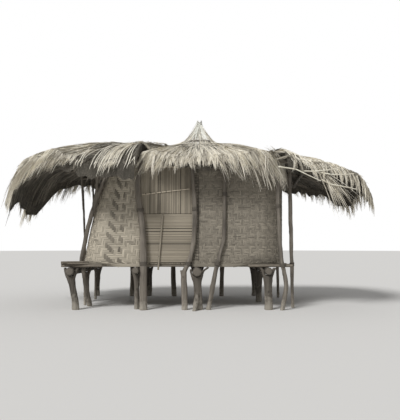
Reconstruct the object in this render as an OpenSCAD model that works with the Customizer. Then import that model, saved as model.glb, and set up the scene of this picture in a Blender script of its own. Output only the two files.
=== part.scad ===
// Raised granary of woven cane mats on forked posts, under a wide thatch canopy.
// Millimetres. +X runs along the front to the right, +Y to the back, +Z up, z = 0 is the ground.

/* [Platform] */
// Height of the bearer logs' top line above the ground
log_top_z = 860; // [700:10:1000]
// Length of the bearer logs, front to back
log_len = 3300; // [3100:50:3600]
// Radius of the left bearer log
log_r_left = 86; // [70:2:95]
// Radius of the bearer log left of the doorway
log_r_door = 70; // [60:2:75]
// Radius of the middle bearer log
log_r_mid = 96; // [80:2:100]
// Radius of the right bearer log
log_r_right = 80; // [70:2:90]
// Radius of the floor poles
pole_r = 28; // [22:1:32]
// Number of floor poles inside the walls
pole_n = 14; // [12:1:15]
// How far the floor poles stick out past the walls
pole_overhang = 130; // [80:10:200]
// Thickness of the reed floor
floor_t = 24; // [15:1:40]

/* [Walls] */
// Outer half length of the body to the left, at the foot
body_left = 2225; // [2150:5:2260]
// Outer half length of the body to the right, at the foot
body_right = 1985; // [1900:5:2020]
// Outer half depth of the body at the foot
body_half_depth = 1400; // [1350:5:1420]
// Inward lean of the left end over the height
left_lean = 480; // [300:10:520]
// Outward lean of the right end over the height
right_lean = 35; // [0:5:60]
// Inward lean of the front and the back over the height
depth_lean = 90; // [60:5:120]
// Radius of the rounded wall corners
corner_r = 550; // [400:10:650]
// Thickness of the cane mats
mat_t = 20; // [14:1:30]
// Height of the wall's top edge above the ground
wall_top_z = 3003; // [2900:5:3060]

/* [Doorway] */
// Left edge of the doorway, from the middle
door_left = 992; // [940:2:1000]
// Right edge of the doorway, from the middle
door_right = 76; // [60:2:100]
// Height of the joint between the two reed panels
panel_joint_z = 1950; // [1800:10:2100]
// Mean radius of a reed
reed_r = 12; // [10:0.5:13]
// How far neighbouring reeds are pressed into each other
reed_bite = 3; // [1.5:0.5:5]

/* [Roof frame] */
// Radius of the two wall plates
plate_r = 42; // [35:1:50]
// Radius of the bent ribs
rib_r = 30; // [25:1:34]
// Radius of the long roof poles
purlin_r = 26; // [20:1:28]
// Radius of the cap's rafters
rafter_r = 20; // [16:1:24]

/* [Canopy] */
// Half length of the canopy
roof_half_w = 3960; // [3900:10:4000]
// Half depth of the canopy
roof_half_d = 2200; // [2100:10:2250]
// Height of the ridge over the left part
ridge_left_z = 3620; // [3600:5:3680]
// Height of the ridge over the right part
ridge_right_z = 3490; // [3460:5:3540]
// Thickness of the thatch at the left ridge
thatch_t_left = 190; // [150:5:200]
// Thickness of the thatch at the right ridge
thatch_t_right = 130; // [100:5:140]
// How far the left end hangs down
droop_left = 1200; // [1000:10:1250]
// How far the right end hangs down
droop_right = 700; // [600:10:760]

/* [Cap] */
// Height of the cap's tip
tip_z = 4085; // [4000:5:4150]
// Height of the skirt's crown, where the spire sits
crown_z = 3560; // [3540:5:3600]
// Sideways place of the spire
spire_x = 220; // [180:5:260]
// Place of the spire from the middle towards the front
spire_front = 300; // [260:5:340]
// Radius of the spire's foot
spire_r = 560; // [480:10:600]
// Thickness of the cap's thatch
cap_t = 80; // [60:5:90]
// How far the straw hangs below the eaves
fringe_h = 150; // [100:10:180]

/* [Hidden] */
seat = 0.3;
foot_z = 0;
reed_pitch = 2 * reed_r - reed_bite;
log_r = [log_r_left, log_r_door, log_r_mid, log_r_right];
log_x = [-2387, -1062, 180, 1622];
row_y = [-body_half_depth - 50, 80, body_half_depth + 160];
log_front_y = -1600;
pole_z = log_top_z + seat + pole_r;
pole_top_z = pole_z + pole_r;
floor_z = pole_top_z + seat;
floor_top_z = floor_z + floor_t;
floor_gap = 10;
wall_z = floor_z;
wall_h = wall_top_z - wall_z;
plate_z = wall_top_z + seat + plate_r;
plate_y = body_half_depth - depth_lean + mat_t * 0.4;
pole_first_y = body_half_depth - 68;
pole_gap = 2 * pole_first_y / (pole_n - 1);
edge_pole_y = body_half_depth + seat + pole_r + 32;

// Support of the thatch: poles lie notched on ribs, and ribs on the plates
notch = 6;
bed = 8;
rib_rest_z = plate_z + plate_r + 2 * rib_r - notch;
thatch_rest_z = rib_rest_z + 2 * purlin_r - notch - bed;
ridge_flat_left = -2000;
ridge_flat_right = 1600;
ridge_min_curve = 120;
// How much the right end steps down beyond the body, and over which length
right_step = 150;
right_step_run = 300;
// The tips arch more than the rest, from this share of the ends' length
tip_share = 0.72;
tip_curve = 900;

// Stations of the ribs along the roof
left_rib_x = [-body_left - 175, -body_left + 445, -door_left - 168];
middle_rib_x = [door_right - 496, door_right + 484, body_right - 725];
right_rib_x = [body_right + 155, body_right + 715];
rib_inset = 240;
rib_front = plate_y + plate_r + 2;
plate_x = [left_rib_x[0] - rib_inset, body_right + 80];

// Inner ends of the three canopy stretches
left_front_end = -door_left - 38;
left_back_end = -600;
back_x = [left_back_end + 30, body_right - 40];
right_end = body_right - 35;
pole_share = [-0.77, -0.46, -0.155, 0.155, 0.46, 0.77];

// Cap: reach and rim height in eight directions, from the right, turning to the back
cap_reach = [1750, 1000, 620, 600, 760, 1550, 1650, 1900];
cap_rim_z = [3270, 3500, 3540, 3555, 3500, 3200, 2980, 3180];

// Beam under the front of the cap, laid along the rafters it carries
cap_beam_r = 34;
cap_beam_y = plate_y + plate_r + 50;
cap_beam_x = [spire_x - 560, spire_x + 660];
rafter_n = 8;
rafter_turn = 180 / rafter_n;

function mix(a, b, t) = a + (b - a) * t;
function clamp(v, low, high) = min(high, max(low, v));
function smooth(t) = let (c = clamp(t, 0, 1)) c * c * (3 - 2 * c);

// Height as a share of the wall, 0 at its foot and 1 at its top
function rise(z) = (z - wall_z) / wall_h;
function wall_left(z) = -body_left + left_lean * (0.6 * rise(z) + 0.4 * rise(z) * rise(z));
function wall_right(z) = body_right + right_lean * rise(z);
function wall_depth(z) = body_half_depth - depth_lean * rise(z);

// Catmull-Rom curve through hand-set points [x, y, z, r]
function spline(p, i, t) =
    let (a = p[max(i - 1, 0)], b = p[i], c = p[i + 1], d = p[min(i + 2, len(p) - 1)])
    0.5 * (2 * b + (c - a) * t + (2 * a - 5 * b + 4 * c - d) * t * t + (3 * b - a - 3 * c + d) * t * t * t);
function smooth_path(p, steps) = concat(
    [for (i = [0 : len(p) - 2]) for (s = [0 : steps - 1]) spline(p, i, s / steps)], [p[len(p) - 1]]);

// A lumpy ring of bark round a path point, in the plane across the given axis
function bark(a, k) = 1 + 0.05 * sin(3 * a + 70 * k) + 0.03 * sin(5 * a - 110 * k);
function ring_point(q, a, k, axis) =
    let (r = q[3] * bark(a, k), u = r * cos(a), v = r * sin(a))
    axis == "z" ? [q[0] + u, q[1] + v, q[2]] :
    axis == "x" ? [q[0], q[1] + u, q[2] + v] : [q[0] + v, q[1], q[2] + u];

// Closed skin over rings of equal length, with a fan at each end
function skin_faces(rings, n) = concat(
    [for (i = [0 : rings - 2]) for (j = [0 : n - 1]) [i * n + j, (i + 1) * n + j, i * n + (j + 1) % n]],
    [for (i = [0 : rings - 2]) for (j = [0 : n - 1])
        [(i + 1) * n + j, (i + 1) * n + (j + 1) % n, i * n + (j + 1) % n]],
    [[for (j = [0 : n - 1]) j]],
    [[for (j = [n - 1 : -1 : 0]) (rings - 1) * n + j]]);

module limb(path, axis = "z", sides = 9, steps = 2) {
    q = smooth_path(path, steps);
    polyhedron(
        points = [for (k = [0 : len(q) - 1]) for (j = [0 : sides - 1]) ring_point(q[k], 360 * j / sides, k, axis)],
        faces = skin_faces(len(q), sides), convexity = 4);
}

// Forked posts that carry the bearer logs

module log_shape(i, extra = 0) {
    translate([log_x[i], log_front_y - extra, log_top_z - log_r[i]])
        rotate([-90, 0, 0])
            cylinder(r = log_r[i] + extra, h = log_len + 2 * extra, $fn = 48);
}

// A stem and two tines round log i; lean moves the foot, spread opens the tines
module fork_post(i, y, stem_r, foot_dx, foot_dy, spread_l, spread_r, top_l, top_r) {
    x = log_x[i];
    r = log_r[i];
    log_z = log_top_z - r;
    crotch_z = log_z - r - 25;
    difference() {
        union() {
            limb([[x + foot_dx, y + foot_dy, foot_z, stem_r * 1.08],
                  [x + foot_dx * 0.8, y + foot_dy * 0.8, crotch_z * 0.35, stem_r * 0.96],
                  [x + foot_dx * 0.3, y + foot_dy * 0.3, crotch_z * 0.75, stem_r * 1.05],
                  [x, y, crotch_z + 20, stem_r * 1.25]], "z", 9, 2);
            limb([[x - stem_r * 0.3, y, crotch_z - 130, stem_r * 0.65],
                  [x - r * 0.8, y, crotch_z + 25, stem_r * 0.62],
                  [x - r - 22, y, log_z + 8, stem_r * 0.48],
                  [x - r - spread_l, y, log_z + top_l, stem_r * 0.38]], "z", 7, 2);
            limb([[x + stem_r * 0.3, y, crotch_z - 130, stem_r * 0.65],
                  [x + r * 0.8, y, crotch_z + 25, stem_r * 0.62],
                  [x + r + 22, y, log_z + 8, stem_r * 0.48],
                  [x + r + spread_r, y, log_z + top_r, stem_r * 0.38]], "z", 7, 2);
        }
        log_shape(i, seat);
    }
}

module fork_post_left() { color("#8c857a") fork_post(0, row_y[0], 72, 110, 0, 38, 60, 78, 66); }
module fork_post_door() { color("#847d72") fork_post(1, row_y[0] + 108, 56, 6, 0, 26, 24, 60, 52); }
module fork_post_middle() {
    x = log_x[2];
    y = row_y[0];
    color("#8c857a") {
        fork_post(2, y, 80, 30, 0, 20, 130, 60, 92);
        // Root that runs out to the front
        limb([[x - 58, y - 250, foot_z, 40], [x - 36, y - 180, 90, 46], [x - 8, y - 84, 230, 50],
            [x + 20, y, 420, 44]]);
    }
}
module fork_post_right() { color("#7d766b") fork_post(3, row_y[0], 84, 10, 0, 84, 62, 76, 60); }
module fork_posts_centre() {
    color("#6f685e")
        for (i = [0 : 3]) fork_post(i, row_y[1], 70, 20 - 18 * i, 15, 40, 45, 60, 70);
}
module fork_posts_back() {
    color("#6f685e")
        for (i = [0 : 3]) fork_post(i, row_y[2], 74, 12 * i - 20, 10, 46, 38, 62, 58);
}

module bearer_logs() { color("#7a7368") for (i = [0 : 3]) log_shape(i); }

// Floor: poles along X on the logs, then a flat layer of reeds inside the mats

module round_pole(x0, x1, y, z, r) {
    translate([x0, y, z]) rotate([0, 90, 0]) cylinder(r = r, h = x1 - x0, $fn = 32);
}

module floor_poles() {
    color("#81796c")
        for (k = [0 : pole_n - 1])
            round_pole(-body_left - pole_overhang - 45 * (k % 3),
                body_right + pole_overhang - 35 * ((k + 1) % 2), -pole_first_y + k * pole_gap, pole_z, pole_r);
}

// Both ends of each edge pole: front left, front right, back
edge_pole_x = [
    [-body_left - 355, -body_left + 470],
    [body_right - 760, body_right + pole_overhang + 5],
    [-body_left - 200, body_right + pole_overhang]
];
module edge_poles() {
    color("#9a9283")
        for (k = [0 : 2])
            round_pole(edge_pole_x[k][0], edge_pole_x[k][1],
                k < 2 ? -edge_pole_y : edge_pole_y + pole_overhang, pole_z, pole_r);
}

// Short sticks laid askew over the front corner's poles, one layer on another
stick_r = 17;
stick_n = 4;
stick_skew = 14;
module stick_bundle() {
    pitch = 2 * stick_r + 2 * seat;
    color("#a89f8e")
        translate([-body_left + 60, -edge_pole_y + 66, pole_top_z + seat + stick_r])
            rotate([0, 0, stick_skew]) {
                for (k = [0 : stick_n - 1]) stick(-k * pitch, 0, 0.1 * k);
                for (k = [0 : stick_n - 2]) stick(-(k + 0.5) * pitch, pitch * sin(60), 0.3 - 0.15 * k);
            }
}
module stick(y, z, slip) {
    length = 430;
    translate([-length * (1 - slip), y, z]) rotate([0, 90, 0]) cylinder(r = stick_r, h = length, $fn = 20);
}

// Outline of the body at height z, pushed in by inset, as a rounded rectangle
module body_outline(z, inset) {
    left = wall_left(z) + inset;
    right = wall_right(z) - inset;
    depth = wall_depth(z) - inset;
    r = corner_r - inset;
    hull()
        for (x = [left + r, right - r]) for (y = [r - depth, depth - r])
            translate([x, y]) circle(r = r, $fn = 48);
}

module reed_floor() {
    color("#8e8676")
        translate([0, 0, floor_z]) linear_extrude(floor_t)
            body_outline(floor_top_z, mat_t + floor_gap);
}

// Walls: stretches of the rounded rectangle, lofted from foot to top

// Corner c (0 front left, 1 back left, 2 back right, 3 front right), a in degrees
function corner_point(z, inset, c, a) =
    let (left = wall_left(z), right = wall_right(z), d = wall_depth(z), r = corner_r - inset,
        cx = (c < 2) ? left + corner_r : right - corner_r,
        cy = (c == 0 || c == 3) ? corner_r - d : d - corner_r)
    [cx + r * cos(a), cy + r * sin(a)];

// A stretch starts at plan point s (a fixed x or y), follows the flat and turns into the corner
function arc_points(z, inset, c, a0, a1, n) =
    [for (k = [0 : n]) corner_point(z, inset, c, mix(a0, a1, k / n))];
function flat_points(z, inset, start_x, c, a, n) =
    let (q = corner_point(z, inset, c, a))
    [for (k = [0 : n - 1]) [mix(start_x, q[0], k / n), q[1]]];
function side_points(z, inset, start_y, c, a, n) =
    let (q = corner_point(z, inset, c, a))
    [for (k = [0 : n - 1]) [q[0], mix(start_y, q[1], k / n)]];

// Plan line of mat m at height z: 0..7 clockwise from the doorway's left edge
function mat_line(m, z, inset) =
    m == 0 ? concat(flat_points(z, inset, -door_left, 0, 270, 5), arc_points(z, inset, 0, 270, 225, 4)) :
    m == 1 ? concat(side_points(z, inset, 0, 0, 180, 3), arc_points(z, inset, 0, 180, 225, 4)) :
    m == 2 ? concat(side_points(z, inset, 0, 1, 180, 3), arc_points(z, inset, 1, 180, 135, 4)) :
    m == 3 ? concat(flat_points(z, inset, 0, 1, 90, 5), arc_points(z, inset, 1, 90, 135, 4)) :
    m == 4 ? concat(flat_points(z, inset, 0, 2, 90, 5), arc_points(z, inset, 2, 90, 45, 4)) :
    m == 5 ? concat(side_points(z, inset, 0, 2, 0, 3), arc_points(z, inset, 2, 0, 45, 4)) :
    m == 6 ? concat(side_points(z, inset, 0, 3, 360, 3), arc_points(z, inset, 3, 360, 315, 4)) :
    concat(flat_points(z, inset, door_right, 3, 270, 5), arc_points(z, inset, 3, 270, 315, 4));

mat_levels = 6;
// The front mats hang over the floor's edge down to the logs, and rise to the pole tops at the corner
function mat_foot_z(m, k) =
    (m == 0 || m == 7) && k < 4 ? log_top_z + seat : (m == 0 || m == 7) && k == 4 ? mix(log_top_z, wall_z, 0.6) : wall_z;

// Grid solid between an outer and an inner sheet of rows x cols points
function sheet_faces(rows, cols, flip) =
    let (n = rows * cols,
        quad = function (a, b, c, d) flip ? [[a, c, b], [a, d, c]] : [[a, b, c], [a, c, d]],
        faces = concat(
            [for (i = [0 : rows - 2]) for (j = [0 : cols - 2])
                quad(i * cols + j, i * cols + j + 1, (i + 1) * cols + j + 1, (i + 1) * cols + j)],
            [for (i = [0 : rows - 2]) for (j = [0 : cols - 2])
                quad(n + i * cols + j, n + (i + 1) * cols + j, n + (i + 1) * cols + j + 1, n + i * cols + j + 1)],
            [for (j = [0 : cols - 2]) quad(j + 1, j, n + j, n + j + 1)],
            [for (j = [0 : cols - 2])
                let (a = (rows - 1) * cols + j) quad(a, a + 1, n + a + 1, n + a)],
            [for (i = [0 : rows - 2]) let (a = i * cols) quad(a, a + cols, n + a + cols, n + a)],
            [for (i = [0 : rows - 2])
                let (a = i * cols + cols - 1) quad(a + cols, a, n + a, n + a + cols)]))
    [for (f = faces) f[0], for (f = faces) f[1]];

module mat(m) {
    cols = len(mat_line(m, wall_z, 0));
    sheet = function (inset)
        [for (i = [0 : mat_levels]) let (z = mix(wall_z, wall_top_z, i / mat_levels), line = mat_line(m, z, inset))
            for (k = [0 : cols - 1]) [line[k][0], line[k][1], i == 0 ? mat_foot_z(m, k) : z]];
    polyhedron(points = concat(sheet(0), sheet(mat_t)),
        faces = sheet_faces(mat_levels + 1, cols, m % 2 == 1), convexity = 6);
}

module mat_front_left() { color("#a79c84") mat(0); }
module mat_left_front() { color("#a0957e") mat(1); }
module mat_left_back() { color("#a0957e") mat(2); }
module mat_back_left() { color("#988e79") mat(3); }
module mat_back_right() { color("#988e79") mat(4); }
module mat_right_back() { color("#8f8672") mat(5); }
module mat_right_front() { color("#8f8672") mat(6); }
module mat_front_right() { color("#968c77") mat(7); }

// Doorway closure: reeds side by side, tied into two panels that lean with the wall

panel_lean = atan(depth_lean / wall_h);
panel_t = 2 * reed_r;

module reed_row(length, width) {
    n = floor((width - 2 * reed_r) / reed_pitch);
    pitch = (width - 2 * reed_r) / n;
    linear_extrude(length)
        for (k = [0 : n])
            translate([k * pitch + reed_r, 0]) circle(r = reed_r * (1 - 0.03 * (k % 3)), $fn = 20);
}

// Puts a panel drawn in x (along) and z (up) onto the leaning front face at height z
module on_front(z) {
    translate([0, -wall_depth(z) + reed_r + 1, z]) rotate([-panel_lean, 0, 0]) children();
}

door_w = door_left + door_right - 2 * seat;
panel_foot_z = floor_top_z + 10;

module upper_reed_panel() {
    color("#9b9078")
        on_front(panel_joint_z + 6)
            translate([-door_left + seat, 0, 0]) reed_row(wall_top_z - panel_joint_z - 20, door_w);
}

module lower_reed_panel() {
    color("#93886f")
        on_front(panel_foot_z)
            translate([-door_left + seat, 0, 0])
                rotate([90, 0, 90]) rotate([0, 0, 90]) reed_row(door_w, panel_joint_z - panel_foot_z - 2);
}

// Lath r thick and length long that lies on the reeds from x, leaning by angle from upright
module lath(x, r, length, angle) {
    translate([x, -reed_r - r - seat, 0]) rotate([0, angle, 0]) cylinder(r = r, h = length, $fn = 20);
}
lath_r = 11;
upright_lath_r = 19;
lath_slope = 6.8;
module panel_laths() {
    color("#6d6455") {
        // Upright lath of the lower panel
        on_front(log_top_z - 60) lath(-door_left + 378, upright_lath_r, panel_joint_z - log_top_z + 35, 4.4);
        // Rail over the upper panel's head
        on_front(wall_top_z - 70) lath(-door_left + 62, lath_r + 3, door_w - 100, 90);
        // Slanting lath across the upper panel
        on_front(panel_joint_z + 400) lath(-door_left + 30, lath_r, door_w - 70, 90 - lath_slope);
    }
}

// Tall posts: crooked trunks given as [height share, sideways offset, radius], up to the wall plate

module plate_shape(side, extra = 0) {
    translate([plate_x[0], side * plate_y, plate_z])
        rotate([0, 90, 0]) cylinder(r = plate_r + extra, h = plate_x[1] - plate_x[0], $fn = 32);
}

// Trunk in front of the wall (side -1) or behind it (side 1), from the ground to the wall plate
module plate_post(base_x, profile, side, out = 4) {
    path = [for (q = profile)
        let (z = q[0] * plate_z, stand = wall_depth(max(z, wall_z)) + q[2] + out)
        [base_x + q[1], side * (q[0] > 0.97 ? plate_y + q[2] + 1 : stand), z, q[2]]];
    difference() {
        limb(path);
        plate_shape(side, seat);
    }
}

// Sloping beam in front of the wall plate that carries the cap's rafters
module cap_beam_shape(extra = 0) {
    length = (cap_beam_x[1] - cap_beam_x[0]) / cos(cap_beam_slope);
    translate([cap_beam_x[0], -cap_beam_y, cap_beam_z(cap_beam_x[0])])
        rotate([0, 90 - cap_beam_slope, 0]) cylinder(r = cap_beam_r + extra, h = length, $fn = 32);
}

// Top of the beam where it meets the rafter that leaves the crown at angle a
function beam_meets(a) =
    let (run = (cap_beam_y - spire_front) / -sin(a), t = run / round_list(cap_reach, a))
    [spire_x + run * cos(a), rafter_z(a, t) - rafter_r + notch];
beam_left = beam_meets(270 - rafter_turn);
beam_right = beam_meets(270 + rafter_turn);
cap_beam_slope = atan((beam_right[1] - beam_left[1]) / (beam_right[0] - beam_left[0]));
function cap_beam_z(x) =
    beam_left[1] + (x - beam_left[0]) * tan(cap_beam_slope) - cap_beam_r / cos(cap_beam_slope);

// Trunk that stands clear of the wall plate and reaches up to the cap beam
module beam_post(base_x, profile, out = 3) {
    top = cap_beam_z(base_x + profile[len(profile) - 1][1]);
    path = [for (q = profile)
        let (z = q[0] * top, face = max(wall_depth(max(z, wall_z)), plate_y + plate_r))
        [base_x + q[1], -(face + q[2] + out), z, q[2]]];
    difference() {
        limb(path);
        cap_beam_shape(seat);
    }
}

module door_post_left() {
    color("#989080")
        plate_post(-door_left + 87, [[0, 0, 84], [0.13, -8, 76], [0.35, 0, 74], [0.57, -40, 66],
            [0.73, -112, 62], [0.85, -138, 58], [0.94, -90, 52], [1, -55, 46]], -1, 8);
}
module door_post_right() {
    x = door_right - 146;
    y = -body_half_depth - 60;
    color("#8b8374") {
        // Stub of a sawn branch below the floor
        limb([[x - 14, y, log_top_z - 300, 44], [x - 36, y - 4, log_top_z - 200, 40],
            [x - 58, y - 4, log_top_z - 120, 36], [x - 76, y, log_top_z - 60, 30]]);
        beam_post(x, [[0, 0, 68], [0.12, -8, 62], [0.24, -16, 62], [0.30, 80, 54], [0.44, 186, 50],
            [0.65, 206, 48], [0.80, 176, 46], [0.93, 146, 44], [1, 140, 40]]);
    }
}
module leaning_brace() {
    color("#a1998a")
        beam_post(door_right + 328, [[0, 0, 54], [0.088, 60, 52], [0.256, 164, 50], [0.40, 286, 48],
            [0.48, 326, 42], [0.71, 348, 38], [0.90, 330, 36], [1, 320, 34]]);
}
module slender_post() {
    color("#938b7c")
        plate_post(body_right - 89, [[0, 0, 48], [0.16, 80, 46], [0.31, 4, 44], [0.46, -40, 42],
            [0.73, -60, 40], [0.9, -60, 38], [1, -60, 36]], -1, 92);
}
back_post_x = [-body_left + 725, -420, body_right - 1205];
module back_posts() {
    color("#82796b") {
        plate_post(back_post_x[0],
            [[0, 0, 62], [0.2, 20, 58], [0.5, -20, 54], [0.8, 10, 46], [1, 0, 40]], 1, 6);
        plate_post(back_post_x[1],
            [[0, 0, 66], [0.25, -24, 60], [0.55, 16, 54], [0.85, -8, 46], [1, 0, 40]], 1, 6);
        plate_post(back_post_x[2],
            [[0, 0, 60], [0.3, 26, 56], [0.6, -10, 50], [0.85, 14, 44], [1, 0, 40]], 1, 6);
    }
}

// Poles outside the two ends, standing between the floor poles up to the end ribs

// Point beside the left front corner: dx from the left face, dy out from where the corner starts
function corner_spot(dx, dy, z, r) = [-body_left + dx, corner_r - body_half_depth - dy, z, r];

module forked_pole_left() {
    color("#857d70")
        difference() {
            union() {
                limb([corner_spot(103, -50, foot_z, 58), corner_spot(29, 115, 560, 54),
                    corner_spot(-19, 184, 890, 48), corner_spot(-27, 198, 1030, 49),
                    corner_spot(90, 225, 1631, 50), corner_spot(263, 280, 2192, 48),
                    corner_spot(480, 310, 2800, 42), [-body_left + 525, -plate_y + 40, plate_z, 36]]);
                limb([corner_spot(185, 250, 1990, 30), corner_spot(260, 300, 2300, 34),
                    corner_spot(290, 330, 2480, 32), [-body_left + 335, -plate_y + 30, plate_z, 28]]);
            }
            plate_shape(-1, seat);
        }
}

// Posts under the first rib of the left end (a thin pole in front) and of the right end
left_post_y = 0.44 * body_half_depth;
right_post_y = body_half_depth - 300;
module left_end_post(y, foot_r, x_foot, x_head) {
    top = rib_z(left_rib_x[0], y) - 4;
    foot_x = -body_left - x_foot;
    limb([[foot_x, y, foot_z, foot_r], [foot_x - 8, y, 0.3 * top, foot_r - 3],
        [foot_x - 40, y, 0.57 * top, foot_r - 3], [-body_left - 125, y, 0.8 * top, foot_r - 4],
        [left_rib_x[0] + x_head, y, top, foot_r - 5]]);
}
module right_end_post(y) {
    x = right_rib_x[0];
    top = rib_z(x, y) - 4;
    limb([[x + 40, y, foot_z, 36], [x + 25, y, 0.3 * top, 38], [x + 10, y, 0.6 * top, 42],
        [x + 6, y, 0.84 * top, 42], [x, y, top, 38]]);
}
module end_posts() {
    color("#938b7c") {
        difference() {
            union() {
                left_end_post(-left_post_y, 30, 37, 5);
                left_end_post(left_post_y, 32, 35, 0);
            }
            rib(left_rib_x[0], seat);
        }
        difference() {
            for (side = [-1, 1]) right_end_post(side * right_post_y);
            rib(right_rib_x[0], seat);
        }
    }
}

module wall_plates() { color("#756d60") for (side = [-1, 1]) plate_shape(side); }
module cap_beam() { color("#756d60") cap_beam_shape(); }

// Canopy surface: a low arch over the body whose ends bend down

function end_left(x) = clamp((ridge_flat_left - x) / (roof_half_w + ridge_flat_left), 0, 1);
function end_right(x) = clamp((x - ridge_flat_right) / (roof_half_w - ridge_flat_right), 0, 1);
function ridge_top(x) =
    mix(ridge_left_z, ridge_right_z, smooth((x + 500) / (ridge_flat_right + 500)))
    - droop_left * (0.57 * pow(end_left(x), 1.5) + 0.43 * pow(end_left(x), 10))
    - droop_right * (0.93 * pow(end_right(x), 2) + 0.07 * pow(end_right(x), 10))
    - right_step * smooth((x - right_end) / right_step_run);
function thatch_t(x) =
    mix(thatch_t_left, thatch_t_right, smooth((x + 500) / (ridge_flat_right + 500)))
    * (1 - 0.55 * pow(max(end_left(x), end_right(x)), 2));
function ridge_under(x) = ridge_top(x) - thatch_t(x);
function tip_arch(x) =
    tip_curve * smooth((max(end_left(x), 0.92 * end_right(x)) - tip_share) / (1 - tip_share));
function arch(x) = max(ridge_min_curve + tip_arch(x), ridge_under(x) - thatch_rest_z);
function under_z(x, y) = ridge_under(x) - arch(x) * pow(y / plate_y, 2);
function edge_y(x) = roof_half_d * sqrt(1 - 0.93 * pow(abs(x) / roof_half_w, 4));
function top_z(x, y) = under_z(x, y) + thatch_t(x) * (1 - 0.5 * pow(min(1, abs(y) / edge_y(x)), 2));

function purlin_z(x, y) = under_z(x, y) + bed - purlin_r;
function rib_z(x, y) = purlin_z(x, y) - purlin_r + notch - rib_r;

ridge_pole_r = 58;
ridge_pole_y = 305;
ridge_pole_x = [middle_rib_x[0] - 140, middle_rib_x[1] + 160];

// Bent rib across the roof, from its front (or from the eave when front is 0) to the back eave
module rib(x, extra = 0, front = 0) {
    back = edge_y(x) - rib_inset;
    start = front > 0 ? -front : -back;
    limb([for (k = [0 : 8]) let (y = mix(start, back, k / 8)) [x, y, rib_z(x, y), rib_r + extra]], "y", 8, 1);
}
module ribs_cut(stations, front = 0) { for (x = stations) rib(x, seat, front); }
module plates_cut() { for (side = [-1, 1]) plate_shape(side, seat); }

// Long pole laid over the ribs
module roof_pole(x0, x1, y, extra = 0) {
    limb([for (k = [0 : 6]) let (x = mix(x0, x1, k / 6)) [x, y, purlin_z(x, y), purlin_r + extra]], "x", 8, 1);
}
function pole_y(share) = share * roof_half_d;

module left_poles(extra = 0) {
    for (share = pole_share)
        let (y = pole_y(share))
            roof_pole(-roof_half_w + 460 + 0.35 * abs(y), left_inner(y) - 25, y, extra);
}
module back_poles(extra = 0) {
    for (share = [pole_share[4], pole_share[5]])
        roof_pole(back_x[0] + 10, back_x[1] - 45, pole_y(share), extra);
}
module right_poles(extra = 0) {
    for (share = pole_share)
        roof_pole(right_end + 80, roof_half_w - 360 - 0.35 * abs(pole_y(share)), 0.94 * pole_y(share), extra);
}

module left_ribs() { color("#6b6357") difference() { for (x = left_rib_x) rib(x); plates_cut(); } }
module middle_ribs() {
    color("#6b6357") difference() { for (x = middle_rib_x) rib(x, 0, rib_front); plates_cut(); }
}
module right_ribs() { color("#6b6357") difference() { for (x = right_rib_x) rib(x); plates_cut(); } }
module left_roof_poles() { color("#776f62") difference() { left_poles(); ribs_cut(left_rib_x); } }
module back_roof_poles() { color("#776f62") difference() { back_poles(); ribs_cut(middle_rib_x, rib_front); } }
module right_roof_poles() { color("#776f62") difference() { right_poles(); ribs_cut(right_rib_x); } }

// Thick pole along the ridge, on the middle ribs, under the back of the cap
module ridge_pole_shape(extra = 0) {
    limb([for (k = [0 : 6]) let (x = mix(ridge_pole_x[0], ridge_pole_x[1], k / 6))
        [x, ridge_pole_y, rib_z(x, ridge_pole_y) + rib_r - notch + ridge_pole_r, ridge_pole_r + extra]], "x", 12, 1);
}
module ridge_pole() {
    color("#71695c")
        difference() {
            ridge_pole_shape();
            ribs_cut(middle_rib_x, rib_front);
        }
}

// Ragged eaves: locks of straw, k counts along the edge
function lock(k) = 34 * sin(97 * k) + 22 * sin(211 * k + 40);

cols_x = 24;
rows_y = 10;
fringe_w = 0.03;
// Share of the way across for step i of n, with narrow steps beside the eaves
function rim_share(i, n) = i == 0 ? 0 : i == n ? 1 : mix(fringe_w, 1 - fringe_w, (i - 1) / (n - 2));
function tuft(i, j) = 0.35 * lock(7 * i + 3 * j);
// One stretch of canopy: inner(y) gives its inner line, out its outer end, front_y(x) its front line,
// and end_hang is 1 where straw hangs from the outer end too
module canopy(inner, out, front_y, flip, end_hang = 1) {
    sheet = function (top)
        [for (i = [0 : rows_y]) for (j = [0 : cols_x])
            let (share = rim_share(i, rows_y),
                y_guess = mix(-1, 1, share) * roof_half_d,
                x = mix(inner(y_guess), out, j == 0 ? 0 : rim_share(j, cols_x))
                    + (j == cols_x ? lock(i) * 0.5 - 20 : 0),
                v = mix(front_y(x) / edge_y(x), 1, share),
                eave = (abs(v) > 0.98) ? 1 : 0,
                hang = max(eave, j == cols_x ? end_hang : 0) * (fringe_h + 1.2 * lock(2 * (i + j) + 5)),
                y = v * edge_y(x) + sign(v) * eave * (lock(j) * 0.8 - 20),
                z = top ? top_z(x, y) + (eave ? 0.5 * lock(j + 3) : tuft(i, j)) : under_z(x, y) - hang)
            [x, y, z]];
    polyhedron(points = concat(sheet(true), sheet(false)),
        faces = sheet_faces(rows_y + 1, cols_x + 1, flip), convexity = 8);
}

function left_inner(y) = mix(left_front_end, left_back_end, smooth((y + 450) / 350));

module thatch_left() {
    color("#c2b79c")
        difference() {
            canopy(function (y) left_inner(y), -roof_half_w + 40, function (x) -edge_y(x), false);
            left_poles(seat);
        }
}
module thatch_right() {
    color("#b9ae93")
        difference() {
            canopy(function (y) right_end, roof_half_w - 40, function (x) -edge_y(x), true);
            right_poles(seat);
        }
}
// The back stretch starts just behind the cap's rear rim
cap_gap = 40;
function cap_rim_x(a) = spire_x + round_list(cap_reach, a) * cos(a);
function cap_rim_y(a) = -spire_front + round_list(cap_reach, a) * sin(a);
cap_rear = [for (a = [180 : -5 : 0]) [cap_rim_x(a), cap_rim_y(a)]];
function cap_rear_y(x) = lookup(x, cap_rear);
module thatch_back() {
    color("#bcb196")
        difference() {
            canopy(function (y) back_x[0], back_x[1], function (x) cap_rear_y(x) + cap_gap, true, 0);
            back_poles(seat);
            ridge_pole_shape(seat);
        }
}

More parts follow.
